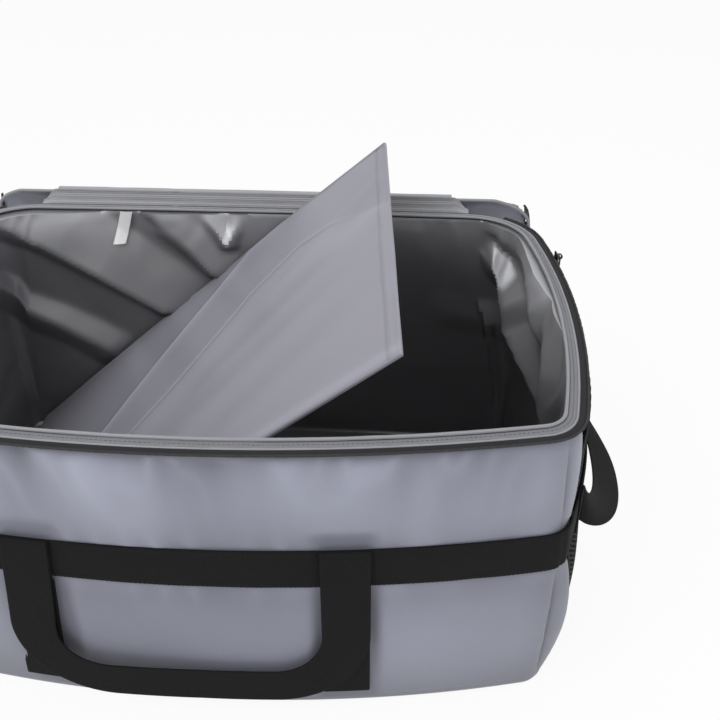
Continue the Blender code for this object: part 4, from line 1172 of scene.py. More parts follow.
def makeHinge():
    xs = hingeXs()
    strip, tape, fold = [], [], []
    for x in xs:
        place = placeWhere("back", 1, 0, x, bag["height"])
        wallLow, wallRim = (wallPoint(place, z, 0.0)[1] for z in (hinge["low"], hinge["rim"]))
        profile = [(wallLow + 1.7 * mm, hinge["low"]), (wallLow + 1.9 * mm, 284.5 * mm),
                   (wallRim + 2.3 * mm, 289.5 * mm), (hinge["y"] - 0.2 * mm, 296.5 * mm)]
        profile += arcPoints(-90, -150, hinge["roll"], 4) + arcPoints(-180, -210.5, hinge["roll"], 2)
        for share in np.linspace(0.04, 0.96, 24):
            profile.append(hingeFace(place, share, bandStand(share, x)))
        low = hingeFace(place, 1.0, 0.0)
        profile += [tuple(low), (wallRim + 0.3 * mm, 286.5 * mm), (wallLow + 0.4 * mm, hinge["low"])]
        fade = float(ease((xs[-1] - abs(x)) / hinge["taper"]))
        squat, rim = 0.12 + 0.88 * fade, bag["height"]
        strip.append([(x, y, z if z < rim else rim + (z - rim) * squat) for y, z in profile])
        if fade < 1:
            continue
        lift = wavering(x, 0.15 * mm, 0.02, 93)
        outer = arcPoints(149.5, 88, hinge["roll"] + 0.15 * mm, 9)
        reach = hinge["tapeReach"]
        flap = [(hinge["y"] + reach * k / 5, hinge["z"] + lift - hinge["tapeDrop"] * (k / 5) ** 2)
                for k in range(1, 6)]
        outer += [(y, z + hinge["roll"] + 0.15 * mm) for y, z in flap]
        inner = [(y, z + hinge["inside"]) for y, z in reversed(flap)]
        inner += arcPoints(88, 149.5, hinge["inside"], 9)
        tape.append([(x, y, z) for y, z in outer + inner])
        outer = arcPoints(-90, -139, hinge["roll"] + 0.1 * mm, 12)
        inner = arcPoints(-139, -90, hinge["inside"], 12)
        fold.append([(x, y, z) for y, z in outer + inner])
    piece = sweptPiece("hinge_band", strip, finishes["hinge"])
    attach(piece, "bag")
    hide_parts("hinge_strip")
    bend = sweptPiece("hinge_fold_inner", tape, finishes["hinge"])
    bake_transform(bend)
    back = sweptPiece("hinge_fold_outer", fold, finishes["hinge"])
    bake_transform(back)
    rows = []
    for share in hinge["stitchShares"]:
        points = []
        for x in xs:
            if xs[-1] - abs(x) < hinge["taper"]:
                continue
            place = placeWhere("back", 1, 0, x, bag["height"])
            points.append((x, *hingeFace(place, share, bandStand(share, x) + 0.05 * mm)))
        rows.append((points, [hinge["stitchLean"]] * len(points), False))
    repeatAlong("hinge_stitches", "greyStitch", rows, "bag", 2.6 * mm, 1.7 * mm, 0.6 * mm)


makeLid()
makeHinge()
print("lid and hinge made")

# Webbing: ribbed along its length, with rounded edges
webLook = {"wide": 38 * mm, "thick": 1.8 * mm, "ribs": 17, "ribDepth": 0.22 * mm, "step": 3.4 * mm,
           "spacing": 240 * mm, "splay": 0.10, "bandStep": 1.8 * mm, "serration": 0.22 * mm,
           "netThick": 0.8 * mm,
           "strapFoot": 24 * mm, "stand": 5.0 * mm, "dropFull": 166 * mm, "corner": 58 * mm, "lean": 7 * mm}
pocket = {"foot": 26 * mm, "top": 246 * mm, "bulge": 15 * mm, "crest": 0.62, "cell": 5.4 * mm, "hole": 0.74,
          "hem": 12 * mm, "hemThick": 1.0 * mm, "netThick": 0.5 * mm}


def webSection(width, thick, ribs, ribDepth, perRib=4):
    middle = thick / 2
    flat, steps = width / 2 - middle, max(ribs * perRib, 12)
    face = []
    for i in range(steps + 1):
        dip = ribDepth * (1 - abs(math.sin(math.pi * i / perRib))) if ribs else 0.0
        face.append((-flat + 2 * flat * i / steps, middle - dip))
    turns = [math.pi * k / 4 for k in (1, 2, 3)]
    edge = [(flat + middle * math.sin(turn), middle * math.cos(turn)) for turn in turns]
    return face + edge + [(-a, -o) for a, o in face + edge]


strapCentres = (("left", -webLook["spacing"] / 2), ("right", webLook["spacing"] / 2))
ribbed = webSection(webLook["wide"], webLook["thick"], webLook["ribs"], webLook["ribDepth"])


def webRing(low, middle, high, out, section=ribbed, half=webLook["wide"] / 2):
    # a section laid over three points across the strap, so it follows a bowed surface
    ring = []
    for across, off in section:
        s = across / half
        base = low * (s * (s - 1) / 2) + middle * (1 - s * s) + high * (s * (s + 1) / 2)
        ring.append(base + out * off)
    return ring


def pocketStand(place, z):
    if place[0] != "side":
        return 0.0
    rise = min(max((z - pocket["foot"]) / (pocket["top"] - pocket["foot"]), 0.0), 1.0)
    belly = float(sideBelly(2, place[1], z)) if z < bag["bandLow"] else 0.0
    return pocket["bulge"] * (1 - place[1] ** 2) * math.sin(rise * math.pi * pocket["crest"]) + belly


def finishWeb(name, rings, body, nodes, closed=False):
    piece = sweptPiece(name, rings, finishes["webbing"], closed, sharp=65)
    if body:
        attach(piece, body)
    if nodes:
        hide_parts(*nodes)
    return piece


def sideWeight(place):  # nothing on the front and back, all of it on the sides, eased round the corners
    return {"front": 0.0, "back": 0.0, "side": 1.0}.get(place[0], ease(place[1] * 1.6))


def makeBand():
    style = webLook
    places, arc, length = loopPlaces(style["bandStep"])
    section = webSection(style["wide"], style["thick"], 0, 0.0)
    rings = []
    for i, place in enumerate(places):
        onSide = sideWeight(place)
        seam = min(abs((arc[i] - s + length / 2) % length - length / 2) for s in cornerSeams)
        bump = 1.1 * mm * math.exp(-(seam / 0.009) ** 2) - 1.0 * mm * math.exp(-(seam / 0.0022) ** 2)
        bump += wavering(arc[i], 0.25 * mm, 0.02, 101) + 0.25 * mm
        tooth = style["serration"] * (1 if i % 2 else -1)
        ring = []
        for across, off in section:
            z = (bag["bandLow"] + bag["bandTop"]) / 2 + across
            if across < -style["wide"] / 2 + 1.5 * mm:
                z += tooth
            stand = bag["gap"] + onSide * (bag["gap"] + style["netThick"]) + pocketStand(place, z)
            puff = 0.5 * mm * math.cos(math.pi * across / style["wide"]) * (off > 0)
            outerFace = style["thick"] / 2 + off + bump * (off > 0) + puff
            ring.append(wallPoint(place, z, -(stand + outerFace)))
        rings.append(ring)
    finishWeb("waist_band", rings, "bag", ["band_front", "band_back", "band_left", "band_right"], closed=True)


def strapRing(face, x, z, depth, across=(1.0, 0.0)):
    # three surface points across the strap; across is (along the wall, down) in the wall's plane
    points = []
    for sign in (-1, 0, 1):
        edgeX, level = x + sign * across[0] * webLook["wide"] / 2, z - sign * across[1] * webLook["wide"] / 2
        place = placeWhere(face, 1, 0, edgeX, max(level, bag["foot"]))
        points.append(wallPoint(place, level, depth))
        if sign == 0:
            out = outAt(place, max(level, bag["foot"]))
    return webRing(*points, out)


def splayed(face, x, drop):  # the front's left leg hangs a little outwards
    share = min(max(-x / (webLook["spacing"] / 2), 0.0), 1.0) if face == "front" else 0.0
    return x - webLook["splay"] * drop * share


def makeStraps():
    style = webLook
    half = style["thick"] / 2
    for face in ("front", "back"):
        for where, centre in strapCentres:
            rings = []
            count = round((bag["bandTop"] - style["strapFoot"]) / style["step"])
            for i in range(count + 1):
                z = between(style["strapFoot"], bag["bandTop"], i / count)
                lift = 2.4 * mm * float(ease((z - (bag["bandLow"] - 7 * mm)) / (6.4 * mm)))
                x = splayed(face, centre, bag["bandTop"] - z)
                rings.append(strapRing(face, x, z, -(bag["gap"] + lift + half)))
            name = "strap_" + face + "_" + where
            finishWeb(name + "_web", rings, "bag", [name])


def handleLine(step):
    half, corner = webLook["spacing"] / 2, webLook["corner"]
    drop = webLook["dropFull"] - webLook["wide"] / 2
    leg, points = drop - corner, []
    count = round(leg / step)
    points += [(-half, leg * i / count, (-1.0, 0.0)) for i in range(count)]
    count = round(corner * math.pi / 2 / step * 1.5)
    for i in range(count + 1):
        turn = math.pi / 2 * i / count
        points.append((corner * (1 - math.cos(turn)) - half, leg + corner * math.sin(turn),
                       (-math.cos(turn), math.sin(turn))))
    count = max(2, round((half - corner) / step))
    points += [((corner - half) * (1 - i / count), drop, (0.0, 1.0)) for i in range(1, count + 1)]
    return points + [(-x, down, (-across[0], across[1])) for x, down, across in points[-2::-1]]


def makeHandles():
    style = webLook
    for face in ("front", "back"):
        rings = []
        for x, drop, across in handleLine(style["step"]):
            share, leftwards = drop / style["dropFull"], min(max(-x / (style["spacing"] / 2), 0.0), 1.0)
            lean = style["lean"] * share ** 2 * (1.0 + 0.5 * leftwards) * (face == "front")
            level, stand = bag["bandTop"] - drop, style["stand"] + style["thick"] / 2 + lean
            rings.append(strapRing(face, splayed(face, x, drop), level, -stand, across))
        finishWeb("carry_handle_" + face, rings, face + "_handle", ["handle_" + face])


def makeHandleFolds():  # the turn of webbing that joins each handle to the strap behind it
    style = webLook
    inner, outer = 0.35 * mm, 2.05 * mm
    middle, thick = (inner + outer) / 2, outer - inner
    for face in ("front", "back"):
        for where, centre in strapCentres:
            place = placeWhere(face, 1, 0, centre, bag["bandTop"])
            out = outAt(place, bag["bandTop"])
            side = np.cross(upward, out)
            origin = wallPoint(place, bag["bandTop"], -4.75 * mm)
            rings = []
            for i in range(9):
                angle = math.pi * (1 - i / 8)
                direction = out * math.cos(angle) + np.array([0, 0, math.sin(angle)])
                section = webSection(style["wide"], thick, style["ribs"], style["ribDepth"])
                rings.append([origin + direction * (middle + off) + side * across for across, off in section])
            piece = finishWeb("handle_fold_" + face + "_" + where, rings, None, None)
            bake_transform(piece)


sideLook = {"halfSpan": 112 * mm, "reach": 26 * mm, "droop": 46 * mm, "foot": 16 * mm, "bow": 0.62,
            "roll": math.radians(48), "rollShare": 1.0, "play": 0.5 * mm, "forward": 14 * mm}


def sideSurface(y, z, side, play):
    place = placeWhere("side", side, 1, y, z)
    stand = 2 * bag["gap"] + webLook["netThick"] + webLook["thick"] + play + pocketStand(place, z)
    return wallPoint(place, z, -stand)


def sideRing(y, bowOut, side, play):
    style, top, wide = sideLook, bag["bandTop"], webLook["wide"]
    roll = style["roll"] * min(1.0, bowOut / style["rollShare"])
    low, high = sideSurface(y, top - wide, side, play), sideSurface(y, top, side, play)
    out, up = outAt(placeWhere("side", side, 1, y, top), top), upward
    half = (high - low) / 2
    half = np.array([half[0], half[1], 0.0]) + (up * math.cos(roll) - out * math.sin(roll)) * half[2]
    middle = (low + high) / 2 + out * (style["reach"] * bowOut) - up * (style["droop"] * bowOut)
    away = out * math.cos(roll) + up * math.sin(roll)
    middle = middle + away * webLook["thick"] / 2
    return webRing(middle - half, middle, middle + half, away)


def makeSideHandles():
    style = sideLook
    middleY = outlineAt(("side", 0.0, 1), bag["bandTop"])[0][1]
    free = style["halfSpan"] - 0.15 * mm
    for where, side in (("right", 1), ("left", -1)):
        rings = []
        for i in range(97):
            reach = between(-free, free, i / 96)
            share = max(0.0, 1 - (reach / style["halfSpan"]) ** 2)
            bowOut = share ** (style["bow"] + 1.1 * float(ease(reach / style["halfSpan"] * 1.5 + 0.2)))
            y = middleY + reach - style["forward"] * bowOut * share
            rings.append(sideRing(y, bowOut, side, style["play"]))
        finishWeb("side_handle_" + where, rings, where + "_handle", ["handle_" + where])
        for end, sign in (("front", -1), ("back", 1)):
            near, far = style["halfSpan"] + 0.15 * mm, style["halfSpan"] + style["foot"]
            rings = [sideRing(middleY + sign * between(near, far, k / 6), 0.0, side, bag["gap"])
                     for k in range(7)]
            name = "handle_end_" + where + "_" + end
            finishWeb("side_" + name, rings, "bag", [name])


def makeWebStitches():
    style, paths = webLook, []
    for inset in (3 * mm, -3 * mm):
        level = bag["bandTop"] - inset if inset > 0 else bag["bandLow"] - inset
        places = placesAlong(fullLoop, 4 * mm)[:-1]
        points, outward = [], []
        for place in places:
            onSide = sideWeight(place)
            stand = 2 * bag["gap"] + onSide * (bag["gap"] + style["netThick"]) + pocketStand(place, level)
            points.append(wallPoint(place, level, -(stand + style["thick"] + 0.15 * mm)))
            outward.append(outAt(place, level))
        paths.append((points, outward, True))
    piece = repeatAlong("band_stitches", "blackStitch", paths, "bag", 3.6 * mm, 2.6 * mm, 0.5 * mm)
    for face, body in (("front", "front_handle"), ("back", "back_handle")):
        paths = []
        for centre in (-style["spacing"] / 2, style["spacing"] / 2):
            for drop in (4.5 * mm, 34 * mm):
                xs = [splayed(face, centre, drop) + (k / 8 - 0.5) * 31 * mm for k in range(9)]
                places = [placeWhere(face, 1, 0, x, bag["bandTop"] - drop) for x in xs]
                depth = -(style["stand"] + style["thick"] + 0.05 * mm)
                paths.append(([wallPoint(p, bag["bandTop"] - drop, depth) for p in places],
                              [outAt(p, bag["bandTop"]) for p in places], False))
        name = "handle_stitches_" + face
        piece = repeatAlong(name, "blackStitch", paths, body, 3.0 * mm, 2.2 * mm, 0.6 * mm)


makeBand()
makeStraps()
makeHandles()
makeHandleFolds()
makeSideHandles()
makeWebStitches()
print("webbing made")


# Side pockets of open net, with an elastic hem and taped edges
def makePockets():
    style = pocket
    top = style["top"] - style["hem"] + 1.5 * mm
    for where, side in (("right", 1), ("left", -1)):
        ends = [outlineAt(("side", t, side), bag["bandLow"])[0] for t in np.linspace(-1, 1, 17)]
        length = sum(np.linalg.norm(b - a) for a, b in zip(ends, ends[1:]))
        half = style["cell"] / 2
        columns, rows = int(length / half), int((top - style["foot"]) / half)
        vertices, faces, uv, known = [], [], [], {}

        def vertex(u, z):
            key = (round(u * 1e6), round(z * 1e6))
            if key not in known:
                u, z = min(max(u, 0.0), length), min(max(z, style["foot"]), top)
                place = ("side", -1 + 2 * u / length, side)
                stand = bag["gap"] + style["netThick"] / 2 + pocketStand(place, z)
                known[key] = len(vertices)
                vertices.append(wallPoint(place, z, -stand))
            return known[key]

        for i in range(columns + 1):
            for j in range(rows + 1):
                if (i + j) % 2:
                    continue
                u, z = i * half, style["foot"] + j * half
                ring = [(1, 0), (0, 1), (-1, 0), (0, -1)]
                outer = [(u + a * half, z + b * half) for a, b in ring]
                inner = [(u + a * half * style["hole"], z + b * half * style["hole"]) for a, b in ring]
                for k in range(4):
                    m = (k + 1) % 4
                    corners = [outer[k], outer[m], inner[m], inner[k]]
                    quad = [vertex(*corner) for corner in corners]
                    if len(set(quad)) == 4:
                        quad = quad if side > 0 else quad[::-1]
                        faces.append(quad)
                        uv += corners if side > 0 else corners[::-1]
        net = newPiece("pocket_net_" + where, vertices, faces, finishes["net"], uv)
        thicken = net.modifiers.new("thick", "SOLIDIFY")
        thicken.thickness, thicken.offset = style["netThick"], 0.0
        net.data = evaluated(net)
        net.modifiers.clear()
        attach(net, "bag")
        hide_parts("net_pocket_" + where)
        places = [("side", t, side) for t in np.linspace(-1, 1, 120)]

        def hem(place, i):
            low, high = style["top"] - style["hem"], style["top"]
            stand = bag["gap"] + pocketStand(place, low) + 0.25 * mm * math.sin(i * 1.3) * (1 - place[1] ** 4)
            off = stand + style["hemThick"]
            face = [(between(low, high, k / 6), -off - 0.25 * mm * math.sin(math.pi * k / 6))
                    for k in range(7)]
            return face + [(high, -stand), (low, -stand)]

        piece = wallSweep("pocket_hem_" + where, places, hem, finishes["webbing"])
        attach(piece, "bag")
        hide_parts("net_hem_" + where)
        makePocketTape(where, side)


def makePocketTape(where, side):  # a narrow tape sewn over the net's edges
    low, high, edge = pocket["foot"] + 1 * mm, pocket["top"] - 1 * mm, 0.985
    path = [(-edge, z, 1) for z in np.linspace(high, low, 60)]
    path += [(t, low, 0) for t in np.linspace(-edge, edge, 80)[1:-1]]
    path += [(edge, z, -1) for z in np.linspace(low, high, 60)]
    section = ((-4, -0.3), (4, -0.3), (4.2, 0.1), (3, 0.45), (0, 0.5), (-3, 0.45), (-4.2, 0.1))
    rings = []
    for t, z, turned in path:
        place = ("side", t, side)
        out = outAt(place, z)
        across = np.cross(upward, out) * side * turned if turned else upward
        middle = wallPoint(place, z, -(bag["gap"] + 0.8 * mm + pocketStand(place, z)))
        rings.append([middle + across * (a * mm) + out * (o * mm) for a, o in section])
    piece = sweptPiece("pocket_tape_" + where, rings, finishes["webbing"])
    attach(piece, "bag")


makePockets()
print("pockets made")


# Blank satin tag in the lining's back seam, hanging a little askew
tagLook = {"left": -136 * mm, "wide": 12.4 * mm, "top": 288.5 * mm, "long": 33 * mm, "lean": -10 * mm,
           "thick": 0.35 * mm, "off": 1.0 * mm, "curl": 3 * mm}


def liningDepthAt(place, z):
    point = outlineAt(place, bag["height"])[0]
    near = min(range(len(liningPlaces)), key=lambda i: float(np.sum((liningPoints[i] - point) ** 2)))
    return float(np.interp(z, liningLevels, liningDepth[near]))


liningPlaces = loopPlaces(liningLook["step"])[0]
liningPoints = [outlineAt(place, bag["height"])[0] for place in liningPlaces]


def makeTag():
    style, front, back = tagLook, [], []
    for i in range(13):
        share = i / 12
        z = style["top"] - style["long"] * share
        rows = ([], [])
        for j in range(7):
            x = style["left"] + style["lean"] * share + style["wide"] * j / 6
            place = placeWhere("back", 1, 0, x, z)
            depth = bag["wall"] + max(liningDepthAt(place, z), 2.5 * mm) + style["off"]
            depth += style["curl"] * share ** 2 + 0.5 * mm * math.sin(math.pi * j / 6)
            rows[0].append(wallPoint(place, z, depth + style["thick"]))
            rows[1].append(wallPoint(place, z, depth))
        front.append(rows[0])
        back.append(rows[1])
    rings = [np.array(a + b[::-1]) for a, b in zip(front, back)]
    piece = sweptPiece("care_tag", rings, finishes["satin"])
    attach(piece, "bag")
    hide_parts("care_label")


makeTag()

# Base board, lifted at its right end: a stiff core in a cloth cover that creases where it is bent
boardLook = {
    "farRight": (0.1339, 0.1620, 0.3700), "nearRight": (0.1556, -0.1531, 0.3395),
    "farLeft": (-0.2680, 0.1550, 0.0300), "nearLeft": (-0.2520, -0.1550, 0.0160),
    "thick": 5.6 * mm, "bend": 3 * mm, "columns": 250, "rows": 148, "hem": 10 * mm, "round": 4 * mm,
}
# Creases in shares of the board, from its foot and from its near edge, with how far the cloth stands up there
boardCreases = [
    ([(0.742, 1.0), (0.66, 0.98), (0.546, 0.845), (0.418, 0.67), (0.317, 0.52), (0.2, 0.36)], 1.5, 0.007, 1),
    ([(0.93, 0.70), (0.874, 0.746), (0.80, 0.765), (0.684, 0.69), (0.56, 0.54), (0.43, 0.41), (0.3, 0.27)],
     1.3, 0.005, -1),
]
# Long soft folds that fan out from the lifted end: start, end, height, half width
boardFans = [((1.0, 0.48), (0.42, 0.16), 1.6, 0.022), ((1.0, 0.62), (0.55, 0.36), 1.3, 0.016),
             ((1.0, 0.30), (0.62, 0.10), 1.2, 0.02), ((0.98, 0.80), (0.72, 0.60), 0.9, 0.012)]


def lineDistance(a, b, start, end):  # metres to a line on the board, which side of it, and how far along it
    sx, sy, ex, ey = start[0] * boardLong, start[1] * boardWide, end[0] * boardLong, end[1] * boardWide
    px, py = a * boardLong, b * boardWide
    length = math.hypot(ex - sx, ey - sy)
    along = ((px - sx) * (ex - sx) + (py - sy) * (ey - sy)) / length ** 2
    side = ((px - sx) * (ey - sy) - (py - sy) * (ex - sx)) / length
    share = np.clip(along, 0, 1)
    off = np.hypot(px - sx - share * (ex - sx), py - sy - share * (ey - sy))
    return off, side, along


def creaseOff(a, b, line):  # signed distance to a crease of several runs, positive on its far side
    best, signed = np.full(a.shape, 9.0), np.zeros(a.shape)
    for start, end in zip(line, line[1:]):
        off, side, _ = lineDistance(a, b, start, end)
        closer = off < best
        best = np.where(closer, off, best)
        signed = np.where(closer, np.where(side > 0, off, -off), signed)
    return signed


def makeBoard():
    style = boardLook
    farRight, nearRight, farLeft, nearLeft = (
        np.array(style[key]) for key in ("farRight", "nearRight", "farLeft", "nearLeft"))
    a, b = np.meshgrid(np.linspace(0, 1, style["columns"]), np.linspace(0, 1, style["rows"]), indexing="ij")
    near, far = between(nearLeft, nearRight, a[..., None]), between(farLeft, farRight, a[..., None])
    top = between(near, far, b[..., None])
    normal = np.cross((nearRight - nearLeft) + (farRight - farLeft),
                      (farRight - nearRight) + (farLeft - nearLeft))
    normal /= np.linalg.norm(normal)
    height, bulk, shade = np.zeros(a.shape), np.zeros(a.shape), np.zeros(a.shape)
    for line, stand, wide, dark in boardCreases:  # dark says which side of the bright line is in shadow
        signed = creaseOff(a, b, line) * dark
        crest = np.exp(-np.abs(signed) / wide)
        groove = np.exp(-((signed - 3.2 * mm) / (1.7 * mm)) ** 2)
        fade = ease((0.95 - a) / 0.16)
        height += (stand * mm * crest - 0.6 * mm * groove) * fade
        shade += (0.8 * np.exp(-((signed + 0.8 * mm) / (1.8 * mm)) ** 2) - 0.9 * groove) * fade
    beyond = creaseOff(a, b, boardCreases[0][0])
    second = creaseOff(a, b, boardCreases[1][0])
    bulk -= style["bend"] * np.clip(beyond, 0, None) / 0.1
    # painted light and shade: the strip beyond the first crease is painted darker, as it bends away from the
    # light; the strip between the creases is painted paler by the first crease and darker towards the second,
    # with a pale band on the near side of the second crease
    shade -= ease(beyond / 0.003) * (0.35 + 0.45 * np.exp(-np.clip(beyond, 0, None) / 0.03))
    shade += 0.35 * ease(-beyond / 0.002) * np.exp(-np.clip(-beyond, 0, None) / 0.012)
    shade -= 0.22 * ease(-beyond / 0.02) * ease(second / 0.004)
    shade += 0.30 * ease(-second / 0.008) * np.exp(-((second + 0.022) / 0.02) ** 2)
    # each fan fold stands up and is painted paler on one side and darker on the other
    for start, end, stand, wide in boardFans:
        off, side, t = lineDistance(a, b, start, end)
        fade = ease(t / 0.12 + 0.6) * ease((1.15 - t) / 0.4)
        height += stand * mm * np.exp(-(off / wide) ** 2) * fade
        shade += 0.16 * np.clip(-side / wide, -1, 1) * np.exp(-(off / wide) ** 2) * fade
    height += 0.5 * mm * softNoise(a * 9, b * 5, 111) + 0.35 * mm * ridgedNoise(a * 6 + b * 2, b * 4, 113)
    edge = np.minimum(np.minimum(a, 1 - a) * boardLong, np.minimum(b, 1 - b) * boardWide)
    rounding = np.exp(-(edge / style["round"]) ** 2)
    height -= 1.4 * mm * rounding
    fromHem = (1 - a) * boardLong - style["hem"]
    height -= 0.6 * mm * np.exp(-(fromHem / 0.0015) ** 2)
    # painted shade in the hem's groove
    shade -= 0.8 * np.exp(-(fromHem / 0.0014) ** 2)
    # painted highlight along the near edge, where its rounded edge catches the light
    fromNear = b * boardWide
    shade += 0.55 * np.exp(-((fromNear - 0.006) / 0.006) ** 2) * (1 - np.exp(-(fromNear / 0.0015) ** 2))
    height *= ease(edge / 0.002 + 0.15)
    wave = 2.2 * mm * softNoise(a * 5 + 3, 0 * b, 119) * b ** 6  # the far edge isn't quite straight
    topPoints = top + normal * (height + bulk + wave)[..., None]
    under = top + normal * (bulk + wave - style["thick"] + 1.2 * mm * rounding
                            + 0.3 * mm * softNoise(a * 7, b * 5, 117))[..., None]
    buildBoard(topPoints, under, a, b, shade)


def buildBoard(topPoints, under, a, b, shade):
    columns, rows = a.shape
    builder, verts = bmesh.new(), {}
    for layer, grid in ((0, topPoints), (1, under)):
        for i in range(columns):
            for j in range(rows):
                verts[layer, i, j] = builder.verts.new(grid[i, j])
    layerUv = builder.loops.layers.uv.new("cloth")

    def face(corners, coordinates):
        made = builder.faces.new([verts[c] for c in corners])
        for loop, (u, v) in zip(made.loops, coordinates):
            loop[layerUv].uv = (u, v)

    for i in range(columns - 1):
        for j in range(rows - 1):
            cells = [(i, j), (i + 1, j), (i + 1, j + 1), (i, j + 1)]
            uv = [(a[c] * boardLong, b[c] * boardWide) for c in cells]
            face([(0, *c) for c in cells], uv)
            face([(1, *c) for c in cells[::-1]], uv[::-1])
    edge = [(i, 0) for i in range(columns)] + [(columns - 1, j) for j in range(1, rows)]
    edge += [(i, rows - 1) for i in range(columns - 2, -1, -1)] + [(0, j) for j in range(rows - 2, 0, -1)]
    middle = {}
    for i, j in edge:
        centre = (topPoints[i, j] + under[i, j]) / 2
        inward = centre - (topPoints.mean(axis=(0, 1)))
        middle[i, j] = builder.verts.new(centre + inward / np.linalg.norm(inward) * 1.3 * mm)
    for k in range(len(edge)):
        p, q = edge[k], edge[(k + 1) % len(edge)]
        for first, second in (((0, *p), (0, *q)), ((1, *q), (1, *p))):
            made = builder.faces.new([verts[second], verts[first], middle[first[1:]], middle[second[1:]]])
            for loop, u in zip(made.loops, (k + 1, k, k, k + 1)):
                loop[layerUv].uv = (u * 2.8 * mm, 0.0 if loop.vert in middle.values() else 2 * mm)
    bmesh.ops.recalc_face_normals(builder, faces=builder.faces)
    mesh = bpy.data.meshes.new("base_board")
    builder.to_mesh(mesh)
    builder.free()
    mesh.materials.append(finishes["board"])
    mesh.shade_smooth()
    piece = linked("base_board", mesh)
    fold = np.zeros(len(mesh.vertices))
    fold[:columns * rows] = shade.ravel()
    setAttribute(piece, "fold", fold)
    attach(piece, "board")
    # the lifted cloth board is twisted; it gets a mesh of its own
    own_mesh(piece)
    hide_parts("board_cover_under", "board_core", "board_cover_upper")


makeBoard()
print("board and tag made")

# Zip sliders and pulls
sliderLook = {"share": 0.72, "long": 10 * mm, "bail": 2.6 * mm, "hole": 3.6 * mm, "bar": 1.2 * mm,
              "pullWide": 7.0 * mm, "pullThick": 1.2 * mm, "pullLong": 27 * mm, "slot": 6.4 * mm}


def extruded(name, axes, loop, width, finish, bevel):
    origin, out, along = axes
    points = [origin + out * p[0] + upward * p[1] + along * s for s in (-width / 2, width / 2) for p in loop]
    count = len(loop)
    faces = [[i, (i + 1) % count, count + (i + 1) % count, count + i] for i in range(count)]
    faces += [list(range(count))[::-1], list(range(count, 2 * count))]
    return bevelled(pointOutwards(newPiece(name, points, faces, finish, sharp=35)), bevel)


def arch(out, up, half, bar, root, count=14):  # a bail: a half ring that runs back to its root
    outer = [(root, up - half - bar), (out, up - half - bar)]
    turns, full = [math.pi * i / count for i in range(1, count)], half + bar
    outer += [(out + full * math.sin(turn), up - full * math.cos(turn)) for turn in turns]
    outer += [(out, up + half + bar), (root, up + half + bar)]
    inner = [(root, up + half), (out, up + half)]
    inner += [(out + half * math.sin(turn), up + half * math.cos(turn)) for turn in turns]
    inner += [(out, up - half), (root, up - half)]
    return outer + inner


def roundedLoop(low, high, halfWidth, radius, count):  # a rounded slot outline of (along, up)
    points = []
    for cx, cz, start in ((halfWidth - radius, high - radius, 90), (halfWidth - radius, low + radius, 0),
                          (radius - halfWidth, low + radius, -90), (radius - halfWidth, high - radius, -180)):
        turns = [math.radians(start - 90 * i / count) for i in range(count + 1)]
        points += [(cx + radius * math.cos(turn), cz + radius * math.sin(turn)) for turn in turns]
    return points


def makeSliders():
    style, coil = sliderLook, 1.3 * mm
    for where, side in (("right", 1), ("left", -1)):
        place = ("side", style["share"], side)
        out = outAt(place, rimLook["coilLevel"])
        along = np.cross(upward, out)
        axes = (wallPoint(place, rimLook["coilLevel"], rimLook["coilDepth"]), out, along)
        near, lip = coil + bag["gap"], 1.5 * coil
        far, low, high = near + 1.8 * mm, -near - 1.8 * mm, 3 * coil + near
        cutOff = 0.8 * mm
        loop = [(-lip, low), (far - cutOff, low), (far, low + cutOff), (far, high - cutOff),
                (far - cutOff, high), (near, high), (near, -near), (-lip, -near)]
        holder = extruded("slider_body_" + where, axes, loop, style["long"], finishes["metal"], 0.45 * mm)
        pivotOut, pivotUp = far + style["hole"] / 2, coil + bag["gap"] / 2
        ring = arch(pivotOut, pivotUp, style["hole"] / 2, style["bar"], far - 1.2 * mm)
        bail = extruded("slider_bail_" + where, axes, ring, style["bail"], finishes["metal"], 0.3 * mm)
        holder = joined("zip_slider_" + where, [holder, bail])
        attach(holder, where + "_slider")
        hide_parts("slider_" + where)
        makePull(where, axes[0] + out * pivotOut + np.array([0, 0, pivotUp]), out, along)


def makePull(where, pivot, out, along):
    style, half = sliderLook, sliderLook["pullThick"] / 2
    outer = roundedLoop(-style["pullLong"], half, style["pullWide"] / 2, 2.2 * mm, 7)
    slot = roundedLoop(-style["slot"], -half, style["bail"] / 2 + 0.6 * mm, 1.0 * mm, 7)
    count = len(outer)
    points = [pivot + along * a + upward * z + out * face * half for face in (-1, 1) for loop in (outer, slot)
              for a, z in loop]
    faces = []
    for i in range(count):
        k = (i + 1) % count
        faces += [[i, k, count + k, count + i], [2 * count + i, 3 * count + i, 3 * count + k, 2 * count + k],
                  [i, 2 * count + i, 2 * count + k, k], [count + i, count + k, 3 * count + k, 3 * count + i]]
    piece = pointOutwards(newPiece("pull_tab_" + where, points, faces, finishes["metal"], sharp=35))
    bevelled(piece, 0.3 * mm)
    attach(piece, where + "_pull")
    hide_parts("pull_" + where)


makeSliders()
print("sliders made")

# Camera at the photograph's angle
view = {"azimuth": 3.13, "elevation": 34.44, "focal": 887.7, "target": (0.1202, 0.0, 0.2266), "reach": 0.8,
        "frame": 720}


def makeCamera():
    data = bpy.data.cameras.new("camera")
    camera = linked("camera", data)
    turn, rise = math.radians(view["azimuth"]), math.radians(view["elevation"])
    back = Vector((math.sin(turn) * math.cos(rise), -math.cos(turn) * math.cos(rise), math.sin(rise)))
    camera.location = Vector(view["target"]) + back * view["reach"]
    camera.rotation_mode = "QUATERNION"
    camera.rotation_quaternion = (-back).to_track_quat("-Z", "Y")
    data.sensor_width = 36
    data.lens = view["focal"] / view["frame"] * data.sensor_width
    data.clip_start, data.clip_end = 0.05, 50
    bpy.context.scene.camera = camera


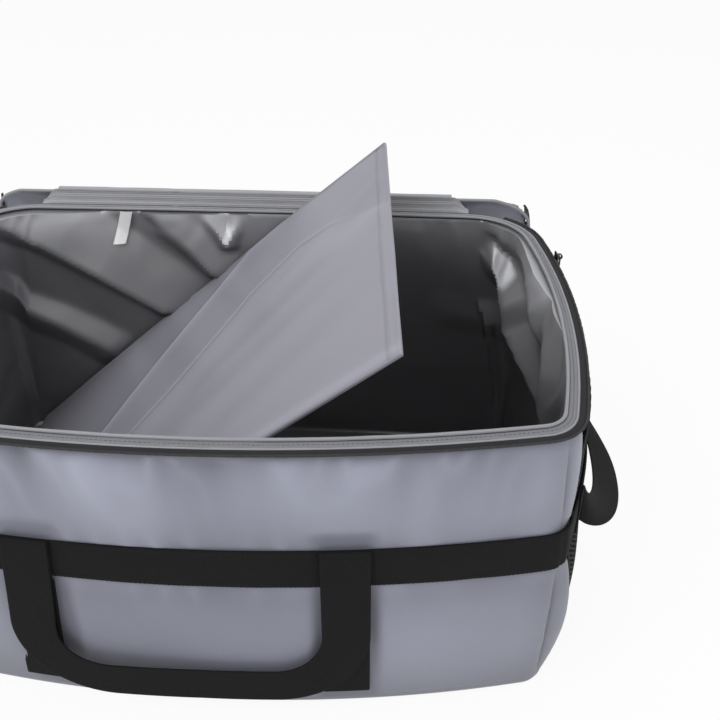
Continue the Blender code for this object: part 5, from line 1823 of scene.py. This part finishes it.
# Pale floor and soft studio light
def seenDirectly(tree):  # one for the camera's rays, also those that come by way of a gloss
    ray = addNode(tree, "ShaderNodeLightPath")
    return maths(tree, "MAXIMUM", ray.outputs["Is Camera Ray"],
                 maths(tree, "MAXIMUM", ray.outputs["Is Glossy Ray"], ray.outputs["Is Transmission Ray"]))


def mixInto(tree, share, first, second, output):
    mix = addNode(tree, "ShaderNodeMixShader")
    for source, socket in zip((share, first, second), mix.inputs):
        wire(tree, source, socket)
    wire(tree, mix.outputs[0], tree.nodes[output].inputs["Surface"])


def paleFinish(name, colour, share):  # shows nearly white to the camera and keeps the shadows on it
    finish, tree, shader = newFinish(name)
    shader.inputs["Base Color"].default_value = colour
    shader.inputs["Roughness"].default_value = 0.9
    shader.inputs["Specular IOR Level"].default_value = 0.1
    seen = seenDirectly(tree)
    glow = addNode(tree, "ShaderNodeEmission", {"Color": (1, 1, 1, 1), "Strength": 1.0})
    mixInto(tree, times(tree, seen, share), shader.outputs[0], glow.outputs[0], "Material Output")
    return finish


def makeStage():
    half = 6.0
    floor = newPiece("floor", [(-half, -half, 0), (half, -half, 0), (half, half, 0), (-half, half, 0)],
                     [(0, 1, 2, 3)], paleFinish("floorWhite", (0.88, 0.88, 0.88, 1), 0.92), smooth=False)
    world = bpy.data.worlds.new("studio")
    bpy.context.scene.world = world
    world.use_nodes = True
    tree = world.node_tree
    seen = seenDirectly(tree)
    plain = tree.nodes["Background"]
    plain.inputs["Color"].default_value = (1, 1, 1, 1)
    plain.inputs["Strength"].default_value = 0.55
    white = addNode(tree, "ShaderNodeBackground", {"Color": (1, 1, 1, 1), "Strength": 1.0})
    mixInto(tree, seen, plain.outputs[0], white.outputs[0], "World Output")
    lamps = {"key": ((-1.1, -1.3, 2.0), 1.4, 26), "fill": ((1.6, -1.0, 1.4), 1.6, 9),
             "top": ((0.2, 0.5, 2.4), 1.2, 10)}
    for name, (place, size, power) in lamps.items():
        data = bpy.data.lights.new(name, "AREA")
        data.shape, data.size, data.energy = "SQUARE", size, power
        lamp = linked(name, data)
        lamp.location = place
        lamp.rotation_mode = "QUATERNION"
        lamp.rotation_quaternion = (Vector((0, 0, 0.15)) - Vector(place)).to_track_quat("-Z", "Y")
    bpy.context.scene.view_settings.view_transform = "Standard"


makeCamera()
makeStage()
print("camera and stage made")
